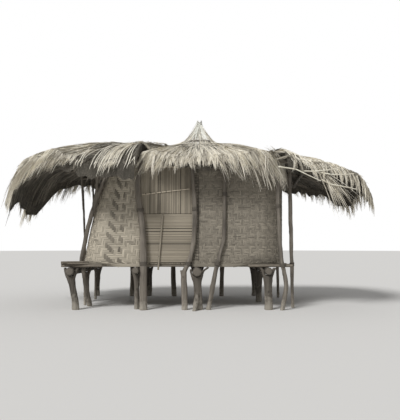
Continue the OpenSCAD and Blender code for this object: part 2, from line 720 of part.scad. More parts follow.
// Cap: a skirt that reaches far over the front, with a bound spire on top

function round_list(list, a) =
    let (s = a / 45, i = floor(s) % 8, t = s - floor(s))
    mix(list[i], list[(i + 1) % 8], smooth(t));
cap_steps = 52;
cap_ring_t = [0.16, 0.32, 0.48, 0.64, 0.8, 0.95, 1];
cap_rings = len(cap_ring_t);
// The straw hangs where the rim is well in front of the posts
cap_hang_y = plate_y + plate_r + 80;
function cap_fringe(y, k) = (fringe_h * 0.8 + cap_lock(k + 5)) * smooth((-y - cap_hang_y) / 120);
function cap_curve(t) = pow(t, 1.8);
function cap_lock(k) = 30 * sin(131 * k) + 20 * sin(59 * k);
function cap_point(a, t, k, lift) =
    let (ragged = t == 1 ? (1.15 - sin(a)) / 2.15 : 0, reach = round_list(cap_reach, a) + ragged * cap_lock(k))
    [spire_x + reach * t * cos(a), -spire_front + reach * t * sin(a),
        crown_z - (crown_z - round_list(cap_rim_z, a)) * cap_curve(t) + lift - ragged * cap_lock(k + 2) * 0.5];
function cap_thick(t) = cap_t * (1 - 0.3 * t);

// Centre line of a rafter at share t of its reach
function rafter_z(a, t) =
    crown_z - (crown_z - round_list(cap_rim_z, a)) * cap_curve(max(t, 0)) - cap_thick(t) + bed - rafter_r;

module skirt_shape() {
    n = cap_steps;
    tops = [for (t = cap_ring_t) for (k = [0 : n - 1])
        let (a = 360 * k / n, open = t < 1 && t * round_list(cap_reach, a) > spire_r)
        cap_point(a, t, k, open ? tuft(t * 20, k) / 2 : 0)];
    lows = [for (t = cap_ring_t) for (k = [0 : n - 1])
        let (top = cap_point(360 * k / n, t, k, 0))
        top - [0, 0, cap_thick(t) + (t == 1 ? cap_fringe(top[1], k) : 0)]];
    m = n * cap_rings;
    top_tip = 2 * m;
    low_tip = 2 * m + 1;
    rim = (cap_rings - 1) * n;
    polyhedron(
        points = concat(tops, lows, [[spire_x, -spire_front, crown_z], [spire_x, -spire_front, crown_z - cap_t]]),
        faces = concat(
            [for (k = [0 : n - 1]) [top_tip, (k + 1) % n, k]],
            [for (k = [0 : n - 1]) [low_tip, m + k, m + (k + 1) % n]],
            [for (i = [0 : cap_rings - 2]) for (k = [0 : n - 1])
                let (a = i * n + k, b = i * n + (k + 1) % n)
                each [[a, b, a + n], [b, b + n, a + n]]],
            [for (i = [0 : cap_rings - 2]) for (k = [0 : n - 1])
                let (a = m + i * n + k, b = m + i * n + (k + 1) % n)
                each [[a, a + n, b], [b, a + n, b + n]]],
            [for (k = [0 : n - 1])
                let (a = rim + k, b = rim + (k + 1) % n)
                each [[a, b, m + b], [a, m + b, m + a]]]),
        convexity = 8);
}

module cap_skirt() {
    color("#cfc5ab")
        difference() {
            skirt_shape();
            cap_rafters(seat);
            cap_beam_shape(seat);
            ridge_pole_shape(seat);
        }
}

// Radial bent poles that meet under the crown; drawn along x, then turned
module cap_rafters(extra = 0) {
    for (k = [0 : rafter_n - 1])
        let (a = rafter_turn * (2 * k + 1), reach = round_list(cap_reach, a))
        translate([spire_x, -spire_front, 0]) rotate([0, 0, a])
            limb([for (s = [0 : 5]) let (t = mix(-0.02, 0.93, s / 5))
                [reach * t, 0, rafter_z(a, t), rafter_r + extra]], "x", 8, 1);
}

module cap_frame() {
    color("#6b6357")
        difference() {
            cap_rafters();
            cap_beam_shape(seat);
            ridge_pole_shape(seat);
        }
}

// Spire: a bound bundle with a flaring foot that lies on the skirt's crown
function spire_profile(h) = spire_r * (0.065 + 0.5 * (1 - h) + 0.435 * pow(1 - h, 3.5));
module cap_spire() {
    foot = crown_z - 60;
    steps = 14;
    color("#c8bda2")
        difference() {
            translate([spire_x, -spire_front, foot])
                rotate_extrude($fn = 48)
                    polygon(concat([[0, 30], [spire_r * 0.54, 5]], [for (k = [0 : steps])
                        let (h = k / steps) [spire_profile(h), (tip_z - foot) * h - 45 * (1 - h)]],
                        [[0, tip_z - foot]]));
            // The skirt's crown comes out of the foot, and so does what would show below it
            for (lift = [seat, -0.6 * cap_t]) translate([0, 0, lift]) skirt_shape();
        }
}

fork_post_left();
fork_post_door();
fork_post_middle();
fork_post_right();
fork_posts_centre();
fork_posts_back();
bearer_logs();
floor_poles();
edge_poles();
stick_bundle();
reed_floor();
mat_front_left();
mat_left_front();
mat_left_back();
mat_back_left();
mat_back_right();
mat_right_back();
mat_right_front();
mat_front_right();
upper_reed_panel();
lower_reed_panel();
panel_laths();
door_post_left();
door_post_right();
leaning_brace();
slender_post();
forked_pole_left();
back_posts();
end_posts();
wall_plates();
cap_beam();
ridge_pole();
left_ribs();
middle_ribs();
right_ribs();
left_roof_poles();
back_roof_poles();
right_roof_poles();
thatch_left();
thatch_back();
thatch_right();
cap_frame();
cap_skirt();
cap_spire();
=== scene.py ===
"""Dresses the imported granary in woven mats, reeds, thatch and bark, and sets its stage."""

import math
from collections import namedtuple

import bpy
import numpy as np
from bpy.props import FloatProperty, FloatVectorProperty, IntProperty, PointerProperty
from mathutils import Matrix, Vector
from mathutils.bvhtree import BVHTree


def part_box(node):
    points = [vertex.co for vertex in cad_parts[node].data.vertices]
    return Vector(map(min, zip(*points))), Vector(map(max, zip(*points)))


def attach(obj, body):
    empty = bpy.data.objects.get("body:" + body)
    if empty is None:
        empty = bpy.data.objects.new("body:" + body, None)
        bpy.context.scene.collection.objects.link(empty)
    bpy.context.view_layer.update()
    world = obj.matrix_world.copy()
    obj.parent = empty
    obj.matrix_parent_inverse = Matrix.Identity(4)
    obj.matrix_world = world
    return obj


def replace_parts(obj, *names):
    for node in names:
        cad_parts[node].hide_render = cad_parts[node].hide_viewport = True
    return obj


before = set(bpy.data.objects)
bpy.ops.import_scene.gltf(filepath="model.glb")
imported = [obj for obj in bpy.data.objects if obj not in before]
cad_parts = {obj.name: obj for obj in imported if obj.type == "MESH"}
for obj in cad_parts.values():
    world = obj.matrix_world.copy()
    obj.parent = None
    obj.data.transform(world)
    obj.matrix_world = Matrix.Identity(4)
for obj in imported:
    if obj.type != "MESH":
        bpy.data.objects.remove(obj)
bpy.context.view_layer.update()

bl_info = {
    "name": "Raised Granary Looks",
    "version": (1, 0, 0),
    "blender": (4, 5, 0),
    "location": "3D View > Sidebar > Granary",
    "description": "Weaves, thatches and weathers the packed granary, and sets its stage",
    "category": "Object",
}

BODY = "root"

LIGHT_MATS = ("mat_front_left", "mat_left_front", "mat_left_back", "mat_back_left")
DARK_MATS = ("mat_back_right", "mat_right_back", "mat_right_front", "mat_front_right")
FORKED_POSTS = ("fork_post_left", "fork_post_door", "fork_post_middle", "fork_post_right",
                "fork_posts_centre", "fork_posts_back")
TALL_POSTS = ("door_post_left", "door_post_right", "leaning_brace", "slender_post",
              "forked_pole_left", "back_posts", "end_posts")
LEVEL_POLES = ("floor_poles", "edge_poles", "stick_bundle", "wall_plates", "cap_beam",
               "ridge_pole", "left_roof_poles", "back_roof_poles", "right_roof_poles")
RIBS = ("left_ribs", "middle_ribs", "right_ribs")
CANOPY = ("thatch_left", "thatch_back", "thatch_right")
CAP = ("cap_skirt", "cap_spire")

# Seeds of the random draws; pieces made in a loop count on from theirs
SEEDS = {"tufts": 5, "canopy": 7, "cap": 19, "cords": 31, "strips": 40, "bundle": 43,
         "slits": 60, "trunks": 100}

# Multipliers that scatter the cells of the lattice noise
SCATTER = (73856093, 19349663, 83492791, 2654435761, 1274126177)

# The plain round floor, wide enough to reach the horizon
FLOOR_RADIUS, FLOOR_SIDES = 90, 96

# Width of a reed, and the height at which the two reed panels meet
REED = 0.0213
PANEL_JOINT = 2.05

# Places across a woven strip and along it where it floats over the others, and its rise there,
# as shares of its width, its length and the relief
STRIP_SIDES = np.array([-0.5, 0.0, 0.5])
FLOAT_STATIONS = np.array([0.0, 0.22, 0.5, 0.78, 1.0])
FLOAT_RISE = np.array([-0.3, 0.8, 1.0, 0.8, -0.3])

# How far a float goes on under its neighbours, as a share of their width, the arch across it as
# a share of the relief, and the arch across a flat band in metres
FLOAT_TUCK = 0.38
FLOAT_ARCH = np.array([-0.25, 0.15, -0.25])
BAND_ARCH = np.array([-0.3, 0.2, -0.3]) * 0.006

# Shares of a light mat's length between which its twill rises, and how many level and upright
# strips a dark mat's diamonds reach from their middle
TWILL_TURNS = (0.51, 0.60)
DIAMOND = (10, 11)

# Where the right mat begins beside the doorway, and its long slits: (x, length, height)
DOOR_EDGE = 0.085
SLITS = ((0.876, 0.16, 2.42), (0.742, 0.11, 2.31), (1.019, 0.26, 2.08), (0.794, 0.12, 2.15),
         (0.363, 0.16, 1.13), (0.691, 0.16, 1.10), (0.917, 0.16, 1.48), (1.224, 0.12, 1.47),
         (1.450, 0.12, 1.47), (0.220, 0.18, 1.80))

# A ridge line in plan from left to right at y, and how far straws are swept towards its ends
Ridge = namedtuple("Ridge", "left right y sweep")
CANOPY_RIDGE = Ridge(-1.7, 1.9, 0.0, 0.55)

# Limits in x along the front eave, left of the doorway: the eave is torn from TORN to SLIPPED_TO,
# and long locks sweep over it from SLIPPED_FROM to TORN
SLIPPED_FROM, TORN, SLIPPED_TO = -3.7, -2.7, -0.9

# Tufts of straw to a metre across the slope, to a metre down it and to a radian of its turn
TUFTS = (9.0, 1.7, 14.0)

# Single wisps that are left on the bare slope: (x and y of the start, lead along x)
BARE_WISPS = np.array([(-2.04, -1.0, -0.36), (-1.90, -1.0, -0.3),
                       (-1.66, -0.9, -0.4), (-1.50, -0.8, -0.3)])

# Heights of the cords round the spire, and of the feet of its outer straws
RING_HEIGHTS = (3.592, 3.606, 3.621)
SPIRE_FEET = (3.62, 3.80)

# Knots in the trunks: the radii of the swelling and of its dark heart, how far it stands out,
# and how many points of a trunk's mesh there are to one knot
KNOT_SWELLING, KNOT_HEART, KNOT_RISE = 0.028, 0.016, 0.010
POINTS_PER_KNOT = 2500

# How far in front of the granary's middle the lines start that feel for its front
IN_FRONT = 3.0

# Trunks tied with wide windings: (x limits within which only this trunk stands, heights)
LASHED = {
    "door_post_left": (-1.25, -0.7, (0.93, 2.02)),
    "door_post_right": (-0.25, 0.35, (0.93, 2.05)),
    "leaning_brace": (0.35, 0.9, (0.93, 2.35)),
    "slender_post": (1.7, 2.1, (0.90, 2.10)),
    "end_posts": (2.0, 2.4, (0.90, 2.55)),
}

# Loose sticks that stand out of the right canopy, each through four points
ROOF_STICKS = (
    ((1.76, -2.10, 2.83), (2.09, -2.18, 2.77), (2.34, -2.20, 2.64), (2.56, -2.20, 2.54)),
    ((2.20, -2.00, 2.76), (2.42, -2.24, 2.72), (2.66, -2.28, 2.74), (2.91, -2.28, 2.78)),
    ((2.55, -1.95, 2.74), (2.78, -2.24, 2.66), (2.98, -2.26, 2.65), (3.19, -2.24, 2.68)),
    ((2.62, -1.95, 2.60), (2.78, -2.12, 2.48), (3.02, -2.12, 2.44), (3.28, -2.08, 2.39)),
)


class GranaryMatSettings(bpy.types.PropertyGroup):
    """Sizes and colours of the woven cane mats."""

    strip_light: FloatProperty(
        name="Left strip width", description="Width of a cane strip in the light mats",
        default=0.037, min=0.02, max=0.06, unit="LENGTH")
    strip_dark: FloatProperty(
        name="Right strip width", description="Width of a cane strip in the dark mats",
        default=0.030, min=0.02, max=0.06, unit="LENGTH")
    relief: FloatProperty(
        name="Relief", description="How far a strip stands out where it passes over the others",
        default=0.007, min=0.002, max=0.015, unit="LENGTH")
    light: FloatVectorProperty(
        name="Light cane", description="Colour of the sun bleached strips",
        default=(0.52, 0.465, 0.37), subtype="COLOR", min=0, max=1)
    dark: FloatVectorProperty(
        name="Dark cane", description="Colour of the older, greyer strips",
        default=(0.31, 0.277, 0.222), subtype="COLOR", min=0, max=1)
    bark_side: FloatVectorProperty(
        name="Bark side", description="Colour of the strips that show the bark of the cane",
        default=(0.095, 0.083, 0.066), subtype="COLOR", min=0, max=1)


class GranaryThatchSettings(bpy.types.PropertyGroup):
    """Sizes and colours of the grass thatch."""

    straw_length: FloatProperty(
        name="Straw length", description="Mean length of a straw that shows",
        default=0.55, min=0.2, max=1.0, unit="LENGTH")
    straw_width: FloatProperty(
        name="Straw width", description="Mean width of a straw or of a few that lie together",
        default=0.011, min=0.004, max=0.02, unit="LENGTH")
    straws_per_m2: IntProperty(
        name="Straws", description="Straws laid on a square metre of roof, seen from above",
        default=520, min=50, max=2000)
    lock_spacing: FloatProperty(
        name="Lock spacing", description="Distance between the hanging locks along the eaves",
        default=0.075, min=0.03, max=0.3, unit="LENGTH")
    lock_straws: IntProperty(
        name="Straws in a lock", description="Number of straws that hang together in one lock",
        default=24, min=4, max=60)
    bright: FloatVectorProperty(
        name="Bleached straw", description="Colour of the outermost, bleached straws",
        default=(0.90, 0.85, 0.73), subtype="COLOR", min=0, max=1)
    dull: FloatVectorProperty(
        name="Weathered straw", description="Colour of the older straws and of the straws' roots",
        default=(0.42, 0.38, 0.31), subtype="COLOR", min=0, max=1)


class GranaryWoodSettings(bpy.types.PropertyGroup):
    """Sizes and colours of the posts, logs and poles."""

    grain_depth: FloatProperty(
        name="Ridge depth", description="Depth of the ridges and checks along a trunk",
        default=0.006, min=0.0, max=0.015, unit="LENGTH")
    bark: FloatVectorProperty(
        name="Barked wood", description="Colour of the forked posts and logs",
        default=(0.10, 0.088, 0.073), subtype="COLOR", min=0, max=1)
    bleached: FloatVectorProperty(
        name="Bleached wood", description="Colour of the debarked trunks in the sun",
        default=(0.17, 0.15, 0.125), subtype="COLOR", min=0, max=1)
    pole: FloatVectorProperty(
        name="Poles", description="Colour of the peeled round poles",
        default=(0.23, 0.20, 0.16), subtype="COLOR", min=0, max=1)
    reed: FloatVectorProperty(
        name="Reeds", description="Colour of the reeds in the doorway and on the floor",
        default=(0.42, 0.37, 0.29), subtype="COLOR", min=0, max=1)


class GranaryStageSettings(bpy.types.PropertyGroup):
    """Camera, lights and floor."""

    camera_place: FloatVectorProperty(
        name="Camera", description="Where the camera stands",
        default=(0.24, -12.9, 1.35), subtype="TRANSLATION", unit="LENGTH")
    camera_pitch: FloatProperty(
        name="Pitch", description="How far the camera looks up",
        default=math.radians(3.37), subtype="ANGLE", unit="ROTATION")
    lens: FloatProperty(
        name="Lens", description="Focal length for a picture whose long side is 36 mm",
        default=48.0, min=10, max=200, unit="CAMERA")
    sun: FloatProperty(
        name="Key light", description="Strength of the broad key light",
        default=2.3, min=0, max=10)
    sun_width: FloatProperty(
        name="Key light width", description="Apparent width, which softens the shadows",
        default=math.radians(18), subtype="ANGLE", unit="ROTATION")
    sun_turn: FloatVectorProperty(
        name="Key light turn", description="How the key light is turned from straight down",
        default=(math.radians(48), 0, math.radians(-35)), subtype="EULER", unit="ROTATION")
    sky: FloatProperty(
        name="Fill light", description="Strength of the even light from all round",
        default=0.33, min=0, max=2)
    floor: FloatVectorProperty(
        name="Floor", description="Colour of the plain floor",
        default=(0.80, 0.79, 0.77), subtype="COLOR", min=0, max=1)


def search_tree(*nodes):
    """One search tree over these CAD nodes at rest."""
    points, faces = [], []
    for name in nodes:
        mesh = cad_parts[name].data
        first = len(points)
        points += [vertex.co.copy() for vertex in mesh.vertices]
        faces += [[first + v for v in face.vertices] for face in mesh.polygons]
    return BVHTree.FromPolygons(points, faces)


def keep_tones(mesh, tones):
    """Keeps three values for every point of a mesh, which its material reads back."""
    colours = np.column_stack([tones, np.ones(len(tones))])
    layer = mesh.color_attributes.new("tone", "FLOAT_COLOR", "POINT")
    layer.data.foreach_set("color", colours.astype(np.float32).ravel())


def add_piece(name, mesh):
    """A new piece that rides on the body."""
    piece = bpy.data.objects.new(name, mesh)
    bpy.context.scene.collection.objects.link(piece)
    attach(piece, BODY)
    return piece


def mesh_piece(name, points, faces, material, tones=None):
    """A new smooth piece from points (n, 3) and quads (m, 4), with tones (n, 3) if given."""
    points, faces = np.asarray(points, np.float32), np.asarray(faces, np.int32)
    mesh = bpy.data.meshes.new(name)
    mesh.vertices.add(len(points))
    mesh.vertices.foreach_set("co", points.ravel())
    mesh.loops.add(faces.size)
    mesh.loops.foreach_set("vertex_index", faces.ravel())
    mesh.polygons.add(len(faces))
    starts = np.arange(0, faces.size, faces.shape[1], dtype=np.int32)
    mesh.polygons.foreach_set("loop_start", starts)
    mesh.polygons.foreach_set("use_smooth", np.full(len(faces), True))
    if tones is not None:
        keep_tones(mesh, tones)
    mesh.update(calc_edges=True)
    mesh.validate()
    mesh.materials.append(material)
    add_piece(name, mesh)


def grid_faces(count, rows, cols, closed=False):
    """Quads of count grids of rows x cols points that follow each other in one list."""
    i, j = np.meshgrid(np.arange(rows - 1), np.arange(cols if closed else cols - 1), indexing="ij")
    here, beside = i * cols + j, i * cols + (j + 1) % cols
    quads = np.stack([here, beside, beside + cols, here + cols], -1).reshape(-1, 4)
    return (quads[None] + (np.arange(count) * rows * cols)[:, None, None]).reshape(-1, 4)


def ramp(values, start, width):
    """0 up to start, then rising to 1 over the width."""
    return np.clip((values - start) / width, 0, 1)


def unit(vectors):
    """Vectors at length 1."""
    return vectors / np.maximum(np.linalg.norm(vectors, axis=-1, keepdims=True), 1e-9)


def mixed(grid, i, j, a, b):
    """Values between the points of a grid: a of the way from column i to the next, b from row j."""
    return ((grid[j, i] * (1 - a) + grid[j, i + 1] * a) * (1 - b)
            + (grid[j + 1, i] * (1 - a) + grid[j + 1, i + 1] * a) * b)


def walked(line):
    """How far each point of a line lies along it."""
    return np.concatenate([[0], np.cumsum(np.linalg.norm(np.diff(line, axis=0), axis=1))])


def evened(line, steps):
    """A line drawn again with so many points at even distances."""
    line = np.array([list(point) for point in line], float)
    way = walked(line)
    even = np.linspace(0, way[-1], steps)
    return np.column_stack([np.interp(even, way, line[:, k]) for k in range(3)])


def ribbons(lines, widths, roll):
    """Flat ribbons along lines (n, k, 3) with widths (n, k), rolled about them by roll (n)."""
    along = unit(np.gradient(lines, axis=1))
    level = unit(np.cross(along, [0.0, 0.0, 1.0]) + 1e-6)
    up = np.cross(level, along)
    side = level * np.cos(roll)[:, None, None] + up * np.sin(roll)[:, None, None]
    half = side * widths[..., None] / 2
    points = np.stack([lines - half, lines + half], 2)
    return points.reshape(-1, 3), grid_faces(len(lines), lines.shape[1], 2)


def tubes(lines, radii, sides=6):
    """Round tubes along lines (n, k, 3) with radii (n, k)."""
    along = unit(np.gradient(lines, axis=1))
    first = unit(np.cross(along, [0.31, 0.17, 0.93]) + 1e-6)
    second = np.cross(along, first)
    turn = np.arange(sides) * 2 * math.pi / sides
    ring = first[:, :, None] * np.cos(turn)[:, None] + second[:, :, None] * np.sin(turn)[:, None]
    points = lines[:, :, None] + ring * radii[..., None, None]
    return points.reshape(-1, 3), grid_faces(len(lines), lines.shape[1], sides, closed=True)


def gathered(parts):
    """Several (points, quads, tones) as one."""
    points, quads, tones = zip(*parts)
    first = np.cumsum([0] + [len(part) for part in points[:-1]])
    quads = [part + start for part, start in zip(quads, first)]
    return np.concatenate(points), np.concatenate(quads), np.concatenate(tones)


def lattice_noise(points, seed):
    """Smooth noise from -1 to 1 at points (n, 3), one unit from lump to lump."""
    cell = np.floor(points).astype(np.int64)
    part = points - cell
    part = part * part * (3 - 2 * part)
    total = np.zeros(len(points))
    for corner in range(8):
        step = np.array([corner & 1, corner >> 1 & 1, corner >> 2 & 1])
        x, y, z = (cell + step).T
        code = (x * SCATTER[0]) ^ (y * SCATTER[1]) ^ (z * SCATTER[2]) ^ (seed * SCATTER[3])
        code = (code ^ (code >> 13)) * SCATTER[4] & 0xFFFFFFFF
        share = np.prod(np.where(step, part, 1 - part), axis=1)
        total += share * (((code ^ (code >> 16)) & 0xFFFF) / 32767.5 - 1)
    return total


def join(tree, source, target):
    """Joins a socket to an input, or sets the input to a plain number or colour."""
    if isinstance(source, bpy.types.NodeSocket):
        tree.links.new(source, target)
    elif isinstance(source, (int, float)):
        target.default_value = source
    else:
        target.default_value = (*source, 1.0) if len(target.default_value) == 4 else source


def add(tree, kind, inputs, **settings):
    """A new node with its settings made, and its inputs, by name or number, joined or set."""
    made = tree.nodes.new(kind)
    for name, value in settings.items():
        setattr(made, name, value)
    for name, value in inputs.items():
        join(tree, value, made.inputs[name])
    return made


def calculate(tree, operation, a, b=0.0, c=0.0):
    """Result of a sum on two or three values."""
    return add(tree, "ShaderNodeMath", {0: a, 1: b, 2: c}, operation=operation).outputs[0]


def between(tree, value, low, high, to_low=0.0, to_high=1.0):
    """A value mapped from low..high to to_low..to_high, and held at the ends."""
    return add(tree, "ShaderNodeMapRange", {"Value": value, "From Min": low, "From Max": high,
                                            "To Min": to_low, "To Max": to_high}).outputs["Result"]


def blend(tree, share, a, b):
    """Colour a turning into colour b as share goes from 0 to 1.

    A mix node takes its colours at inputs 6 and 7 and gives the mixed one at output 2."""
    return add(tree, "ShaderNodeMix", {0: share, 6: a, 7: b}, data_type="RGBA").outputs[2]


def new_group(name, inputs, outputs):
    """A shader node group with these sockets: (group, start node, end node)."""
    group = bpy.data.node_groups.new(name, "ShaderNodeTree")
    for label, kind, default in inputs:
        socket = group.interface.new_socket(label, in_out="INPUT", socket_type=kind)
        if default is not None:
            socket.default_value = default
    for label in outputs:
        group.interface.new_socket(label, in_out="OUTPUT", socket_type="NodeSocketFloat")
    return group, group.nodes.new("NodeGroupInput"), group.nodes.new("NodeGroupOutput")


def make_fibre_group():
    """Long streaks and broad patches, as in wood, cane and straw."""
    group, start, end = new_group(
        "Fibre",
        [("Vector", "NodeSocketVector", None), ("Stretch", "NodeSocketVector", (1.0, 1.0, 0.1)),
         ("Scale", "NodeSocketFloat", 60.0), ("Patch Scale", "NodeSocketFloat", 2.3)],
        ["Streaks", "Patches"])
    where = start.outputs["Vector"]
    drawn = add(group, "ShaderNodeVectorMath", {0: where, 1: start.outputs["Stretch"]},
                operation="MULTIPLY").outputs[0]
    fine = add(group, "ShaderNodeTexNoise", {"Vector": drawn, "Scale": start.outputs["Scale"],
                                             "Detail": 4.0, "Roughness": 0.6})
    broad = add(group, "ShaderNodeTexNoise",
                {"Vector": where, "Scale": start.outputs["Patch Scale"], "Detail": 3.0})
    join(group, between(group, fine.outputs["Fac"], 0.3, 0.7), end.inputs["Streaks"])
    join(group, between(group, broad.outputs["Fac"], 0.3, 0.7), end.inputs["Patches"])


def make_dust_group():
    """Pale ground dust that reaches up from the foot in an uneven line."""
    group, start, end = new_group(
        "Ground Dust",
        [("Vector", "NodeSocketVector", None), ("Reach", "NodeSocketFloat", 0.3)],
        ["Mask"])
    height = add(group, "ShaderNodeSeparateXYZ", {0: start.outputs["Vector"]}).outputs["Z"]
    ragged = add(group, "ShaderNodeTexNoise",
                 {"Vector": start.outputs["Vector"], "Scale": 14.0, "Detail": 3.0})
    limit = calculate(group, "MULTIPLY", start.outputs["Reach"],
                      between(group, ragged.outputs["Fac"], 0.3, 0.7, 0.3, 1.7))
    share = calculate(group, "DIVIDE", height, limit)
    join(group, between(group, share, 0.2, 1.0, 1.0, 0.0), end.inputs["Mask"])


def shade(colour, factor):
    """A colour made lighter or darker."""
    return tuple(min(1.0, part * factor) for part in colour)


class Finish:
    """A material with a Principled shader, and the masks that its colours are made from."""

    def __init__(self, name, stretch, scale, patch_scale=2.3):
        self.material = bpy.data.materials.new(name)
        self.material.use_nodes = True
        self.tree = self.material.node_tree
        self.shader = self.tree.nodes["Principled BSDF"]
        self.shader.inputs["Specular IOR Level"].default_value = 0.25
        self.where = add(self.tree, "ShaderNodeTexCoord", {}).outputs["Object"]
        self.streaks, self.patches = self.fibre(stretch, scale, patch_scale)

    def group(self, name, inputs):
        """The outputs of a shared node group with its inputs joined or set."""
        made = add(self.tree, "ShaderNodeGroup", {}, node_tree=bpy.data.node_groups[name])
        for label, value in {"Vector": self.where, **inputs}.items():
            join(self.tree, value, made.inputs[label])
        return made.outputs

    def fibre(self, stretch, scale, patch_scale=2.3):
        """Streaks and patches over the piece."""
        made = self.group("Fibre", {"Stretch": stretch, "Scale": scale, "Patch Scale": patch_scale})
        return made["Streaks"], made["Patches"]

    def place(self, axis):
        """The place along one axis of the shared frame, in metres."""
        return add(self.tree, "ShaderNodeSeparateXYZ", {0: self.where}).outputs[axis]

    def tones(self):
        """The three values kept at each point of a piece that the script makes."""
        kept = add(self.tree, "ShaderNodeAttribute", {}, attribute_name="tone")
        return add(self.tree, "ShaderNodeSeparateColor", {0: kept.outputs["Color"]}).outputs[:3]

    def tint(self, colour, share, other, most=1.0):
        """The colour turned towards another by share, and by most at the most."""
        if most != 1.0:
            share = calculate(self.tree, "MULTIPLY", share, most)
        return blend(self.tree, share, colour, other)

    def layered(self, base, first, *layers):
        """The base at brightness first, tinted by layers of (mask, brightness, most)."""
        colour = shade(base, first)
        for mask, brightness, most in layers:
            colour = self.tint(colour, mask, shade(base, brightness), most)
        return colour

    def close(self, colour, smoothest, roughest, height, depth):
        """Joins the colour, the roughness over the streaks, and a bump of real depth in metres."""
        join(self.tree, colour, self.shader.inputs["Base Color"])
        join(self.tree, between(self.tree, self.streaks, 0.0, 1.0, smoothest, roughest),
             self.shader.inputs["Roughness"])
        bump = add(self.tree, "ShaderNodeBump",
                   {"Height": height, "Distance": depth, "Strength": 0.7})
        join(self.tree, bump.outputs["Normal"], self.shader.inputs["Normal"])
        return self.material


def finish_straw(name, dull, bright):
    """Straws: bleached towards their tips, each with a tone of its own. Low tones also paint shade:
    on straws low between tufts, on the dark eave rows and shreds, and on the underside.
    """
    f = Finish(name, stretch=(1.0, 1.0, 1.0), scale=9.0, patch_scale=1.7)
    own, along, bleached = f.tones()
    share = calculate(f.tree, "MULTIPLY_ADD", own, 0.85, calculate(f.tree, "MULTIPLY", along, 0.2))
    share = calculate(f.tree, "MULTIPLY_ADD", bleached, 0.35, share)
    share = calculate(f.tree, "MULTIPLY_ADD", f.patches, -0.18, share)
    colour = f.tint(shade(dull, 0.35), between(f.tree, share, -0.3, 0.35), dull)
    colour = f.tint(colour, between(f.tree, share, 0.2, 0.75), bright)
    return f.close(colour, smoothest=0.6, roughest=0.85, height=f.streaks, depth=0.001)


def finish_thatch_bed_painted_shade(thatch):
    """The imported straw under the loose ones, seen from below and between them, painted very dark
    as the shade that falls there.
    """
    f = Finish("Thatch_Bed_Painted_Shade", stretch=(1.0, 0.08, 0.5), scale=70.0, patch_scale=3.0)
    colour = f.layered(thatch.dull, 0.12, (f.streaks, 0.5, 1.0), (f.patches, 0.12, 0.6))
    return f.close(colour, smoothest=0.8, roughest=0.95, height=f.streaks, depth=0.02)


def finish_cane(name, mats, base):
    """Woven strips: a grain along each one, and dark where the bark side shows."""
    f = Finish(name, stretch=(1.0, 1.0, 0.05), scale=160.0)
    own, upright, bark = f.tones()
    level_grain, _ = f.fibre((0.05, 0.05, 1.0), 160.0)
    grain = add(f.tree, "ShaderNodeMix", {0: upright, 2: level_grain, 3: f.streaks},
                data_type="FLOAT").outputs[0]
    colour = f.layered(base, 0.62, (own, 1.3, 1.0))
    colour = f.tint(colour, bark, mats.bark_side)
    colour = f.tint(colour, grain, shade(base, 0.5), 0.4)
    colour = f.tint(colour, f.patches, shade(base, 0.7), 0.35)
    return f.close(colour, smoothest=0.5, roughest=0.75, height=grain, depth=0.0015)


def finish_mat_painted_shade(name, base):
    """The mats behind their outer strips, their inner faces and edges, painted dark as the shade
    behind and between the strips.
    """
    f = Finish(name, stretch=(0.1, 0.1, 1.0), scale=90.0)
    colour = f.layered(base, 0.22, (f.streaks, 0.55, 1.0))
    return f.close(colour, smoothest=0.75, roughest=0.9, height=f.streaks, depth=0.004)


def finish_trunk(name, base, dust_reach, dust=(0.50, 0.46, 0.39)):
    """Carved trunks: dark in the checks, worn pale on the ridges, dusty at the foot."""
    f = Finish(name, stretch=(1.0, 1.0, 0.06), scale=90.0)
    ridge, knot, cut_end = f.tones()
    colour = f.layered(base, 0.28, (ridge, 1.45, 1.0), (f.streaks, 0.55, 0.45),
                       (f.patches, 1.8, 0.5), (knot, 0.3, 0.75), (cut_end, 2.0, 0.7))
    colour = f.tint(colour, f.group("Ground Dust", {"Reach": dust_reach})["Mask"], dust, 0.5)
    return f.close(colour, smoothest=0.62, roughest=0.88, height=f.streaks, depth=0.004)


def finish_round_wood(name, base, stretch):
    """Peeled poles, rafters, sticks and cords, with streaks along them."""
    f = Finish(name, stretch, scale=110.0, patch_scale=4.0)
    colour = f.layered(base, 0.55, (f.streaks, 1.3, 1.0), (f.patches, 0.55, 0.5))
    return f.close(colour, smoothest=0.55, roughest=0.8, height=f.streaks, depth=0.002)


def finish_laths(base):
    """The laths over the reed panels: pale above the joint of the panels, darker below it."""
    f = Finish("Panel_Laths", stretch=(0.06, 1.0, 1.0), scale=110.0, patch_scale=4.0)
    upper = between(f.tree, f.place("Z"), PANEL_JOINT, PANEL_JOINT + 0.1)
    colour = f.layered(base, 0.7, (upper, 1.7, 1.0), (f.streaks, 0.6, 0.4))
    return f.close(colour, smoothest=0.55, roughest=0.8, height=f.streaks, depth=0.002)


def finish_reeds(name, base, stretch, across):
    """Reeds side by side along axis across, each of its own tone, a dark one here and there."""
    f = Finish(name, stretch, scale=110.0, patch_scale=3.0)
    place = f.place(across)

    def drawn(width):
        step = calculate(f.tree, "FLOOR", calculate(f.tree, "DIVIDE", place, width))
        noise = add(f.tree, "ShaderNodeTexWhiteNoise", {"W": step}, noise_dimensions="1D")
        return noise.outputs["Value"]

    own = drawn(REED)
    dark_one = between(f.tree, own, 0.86, 0.9)
    colour = f.layered(base, 0.55, (own, 1.35, 1.0), (drawn(3.4 * REED), 0.8, 0.6),
                       (dark_one, 0.18, 1.0), (f.streaks, 0.5, 0.45))
    return f.close(colour, smoothest=0.5, roughest=0.75, height=f.streaks, depth=0.002)


def dress(names, material):
    """Gives the CAD nodes that stay in view their material."""
    for name in names:
        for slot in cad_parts[name].material_slots:
            slot.material = material


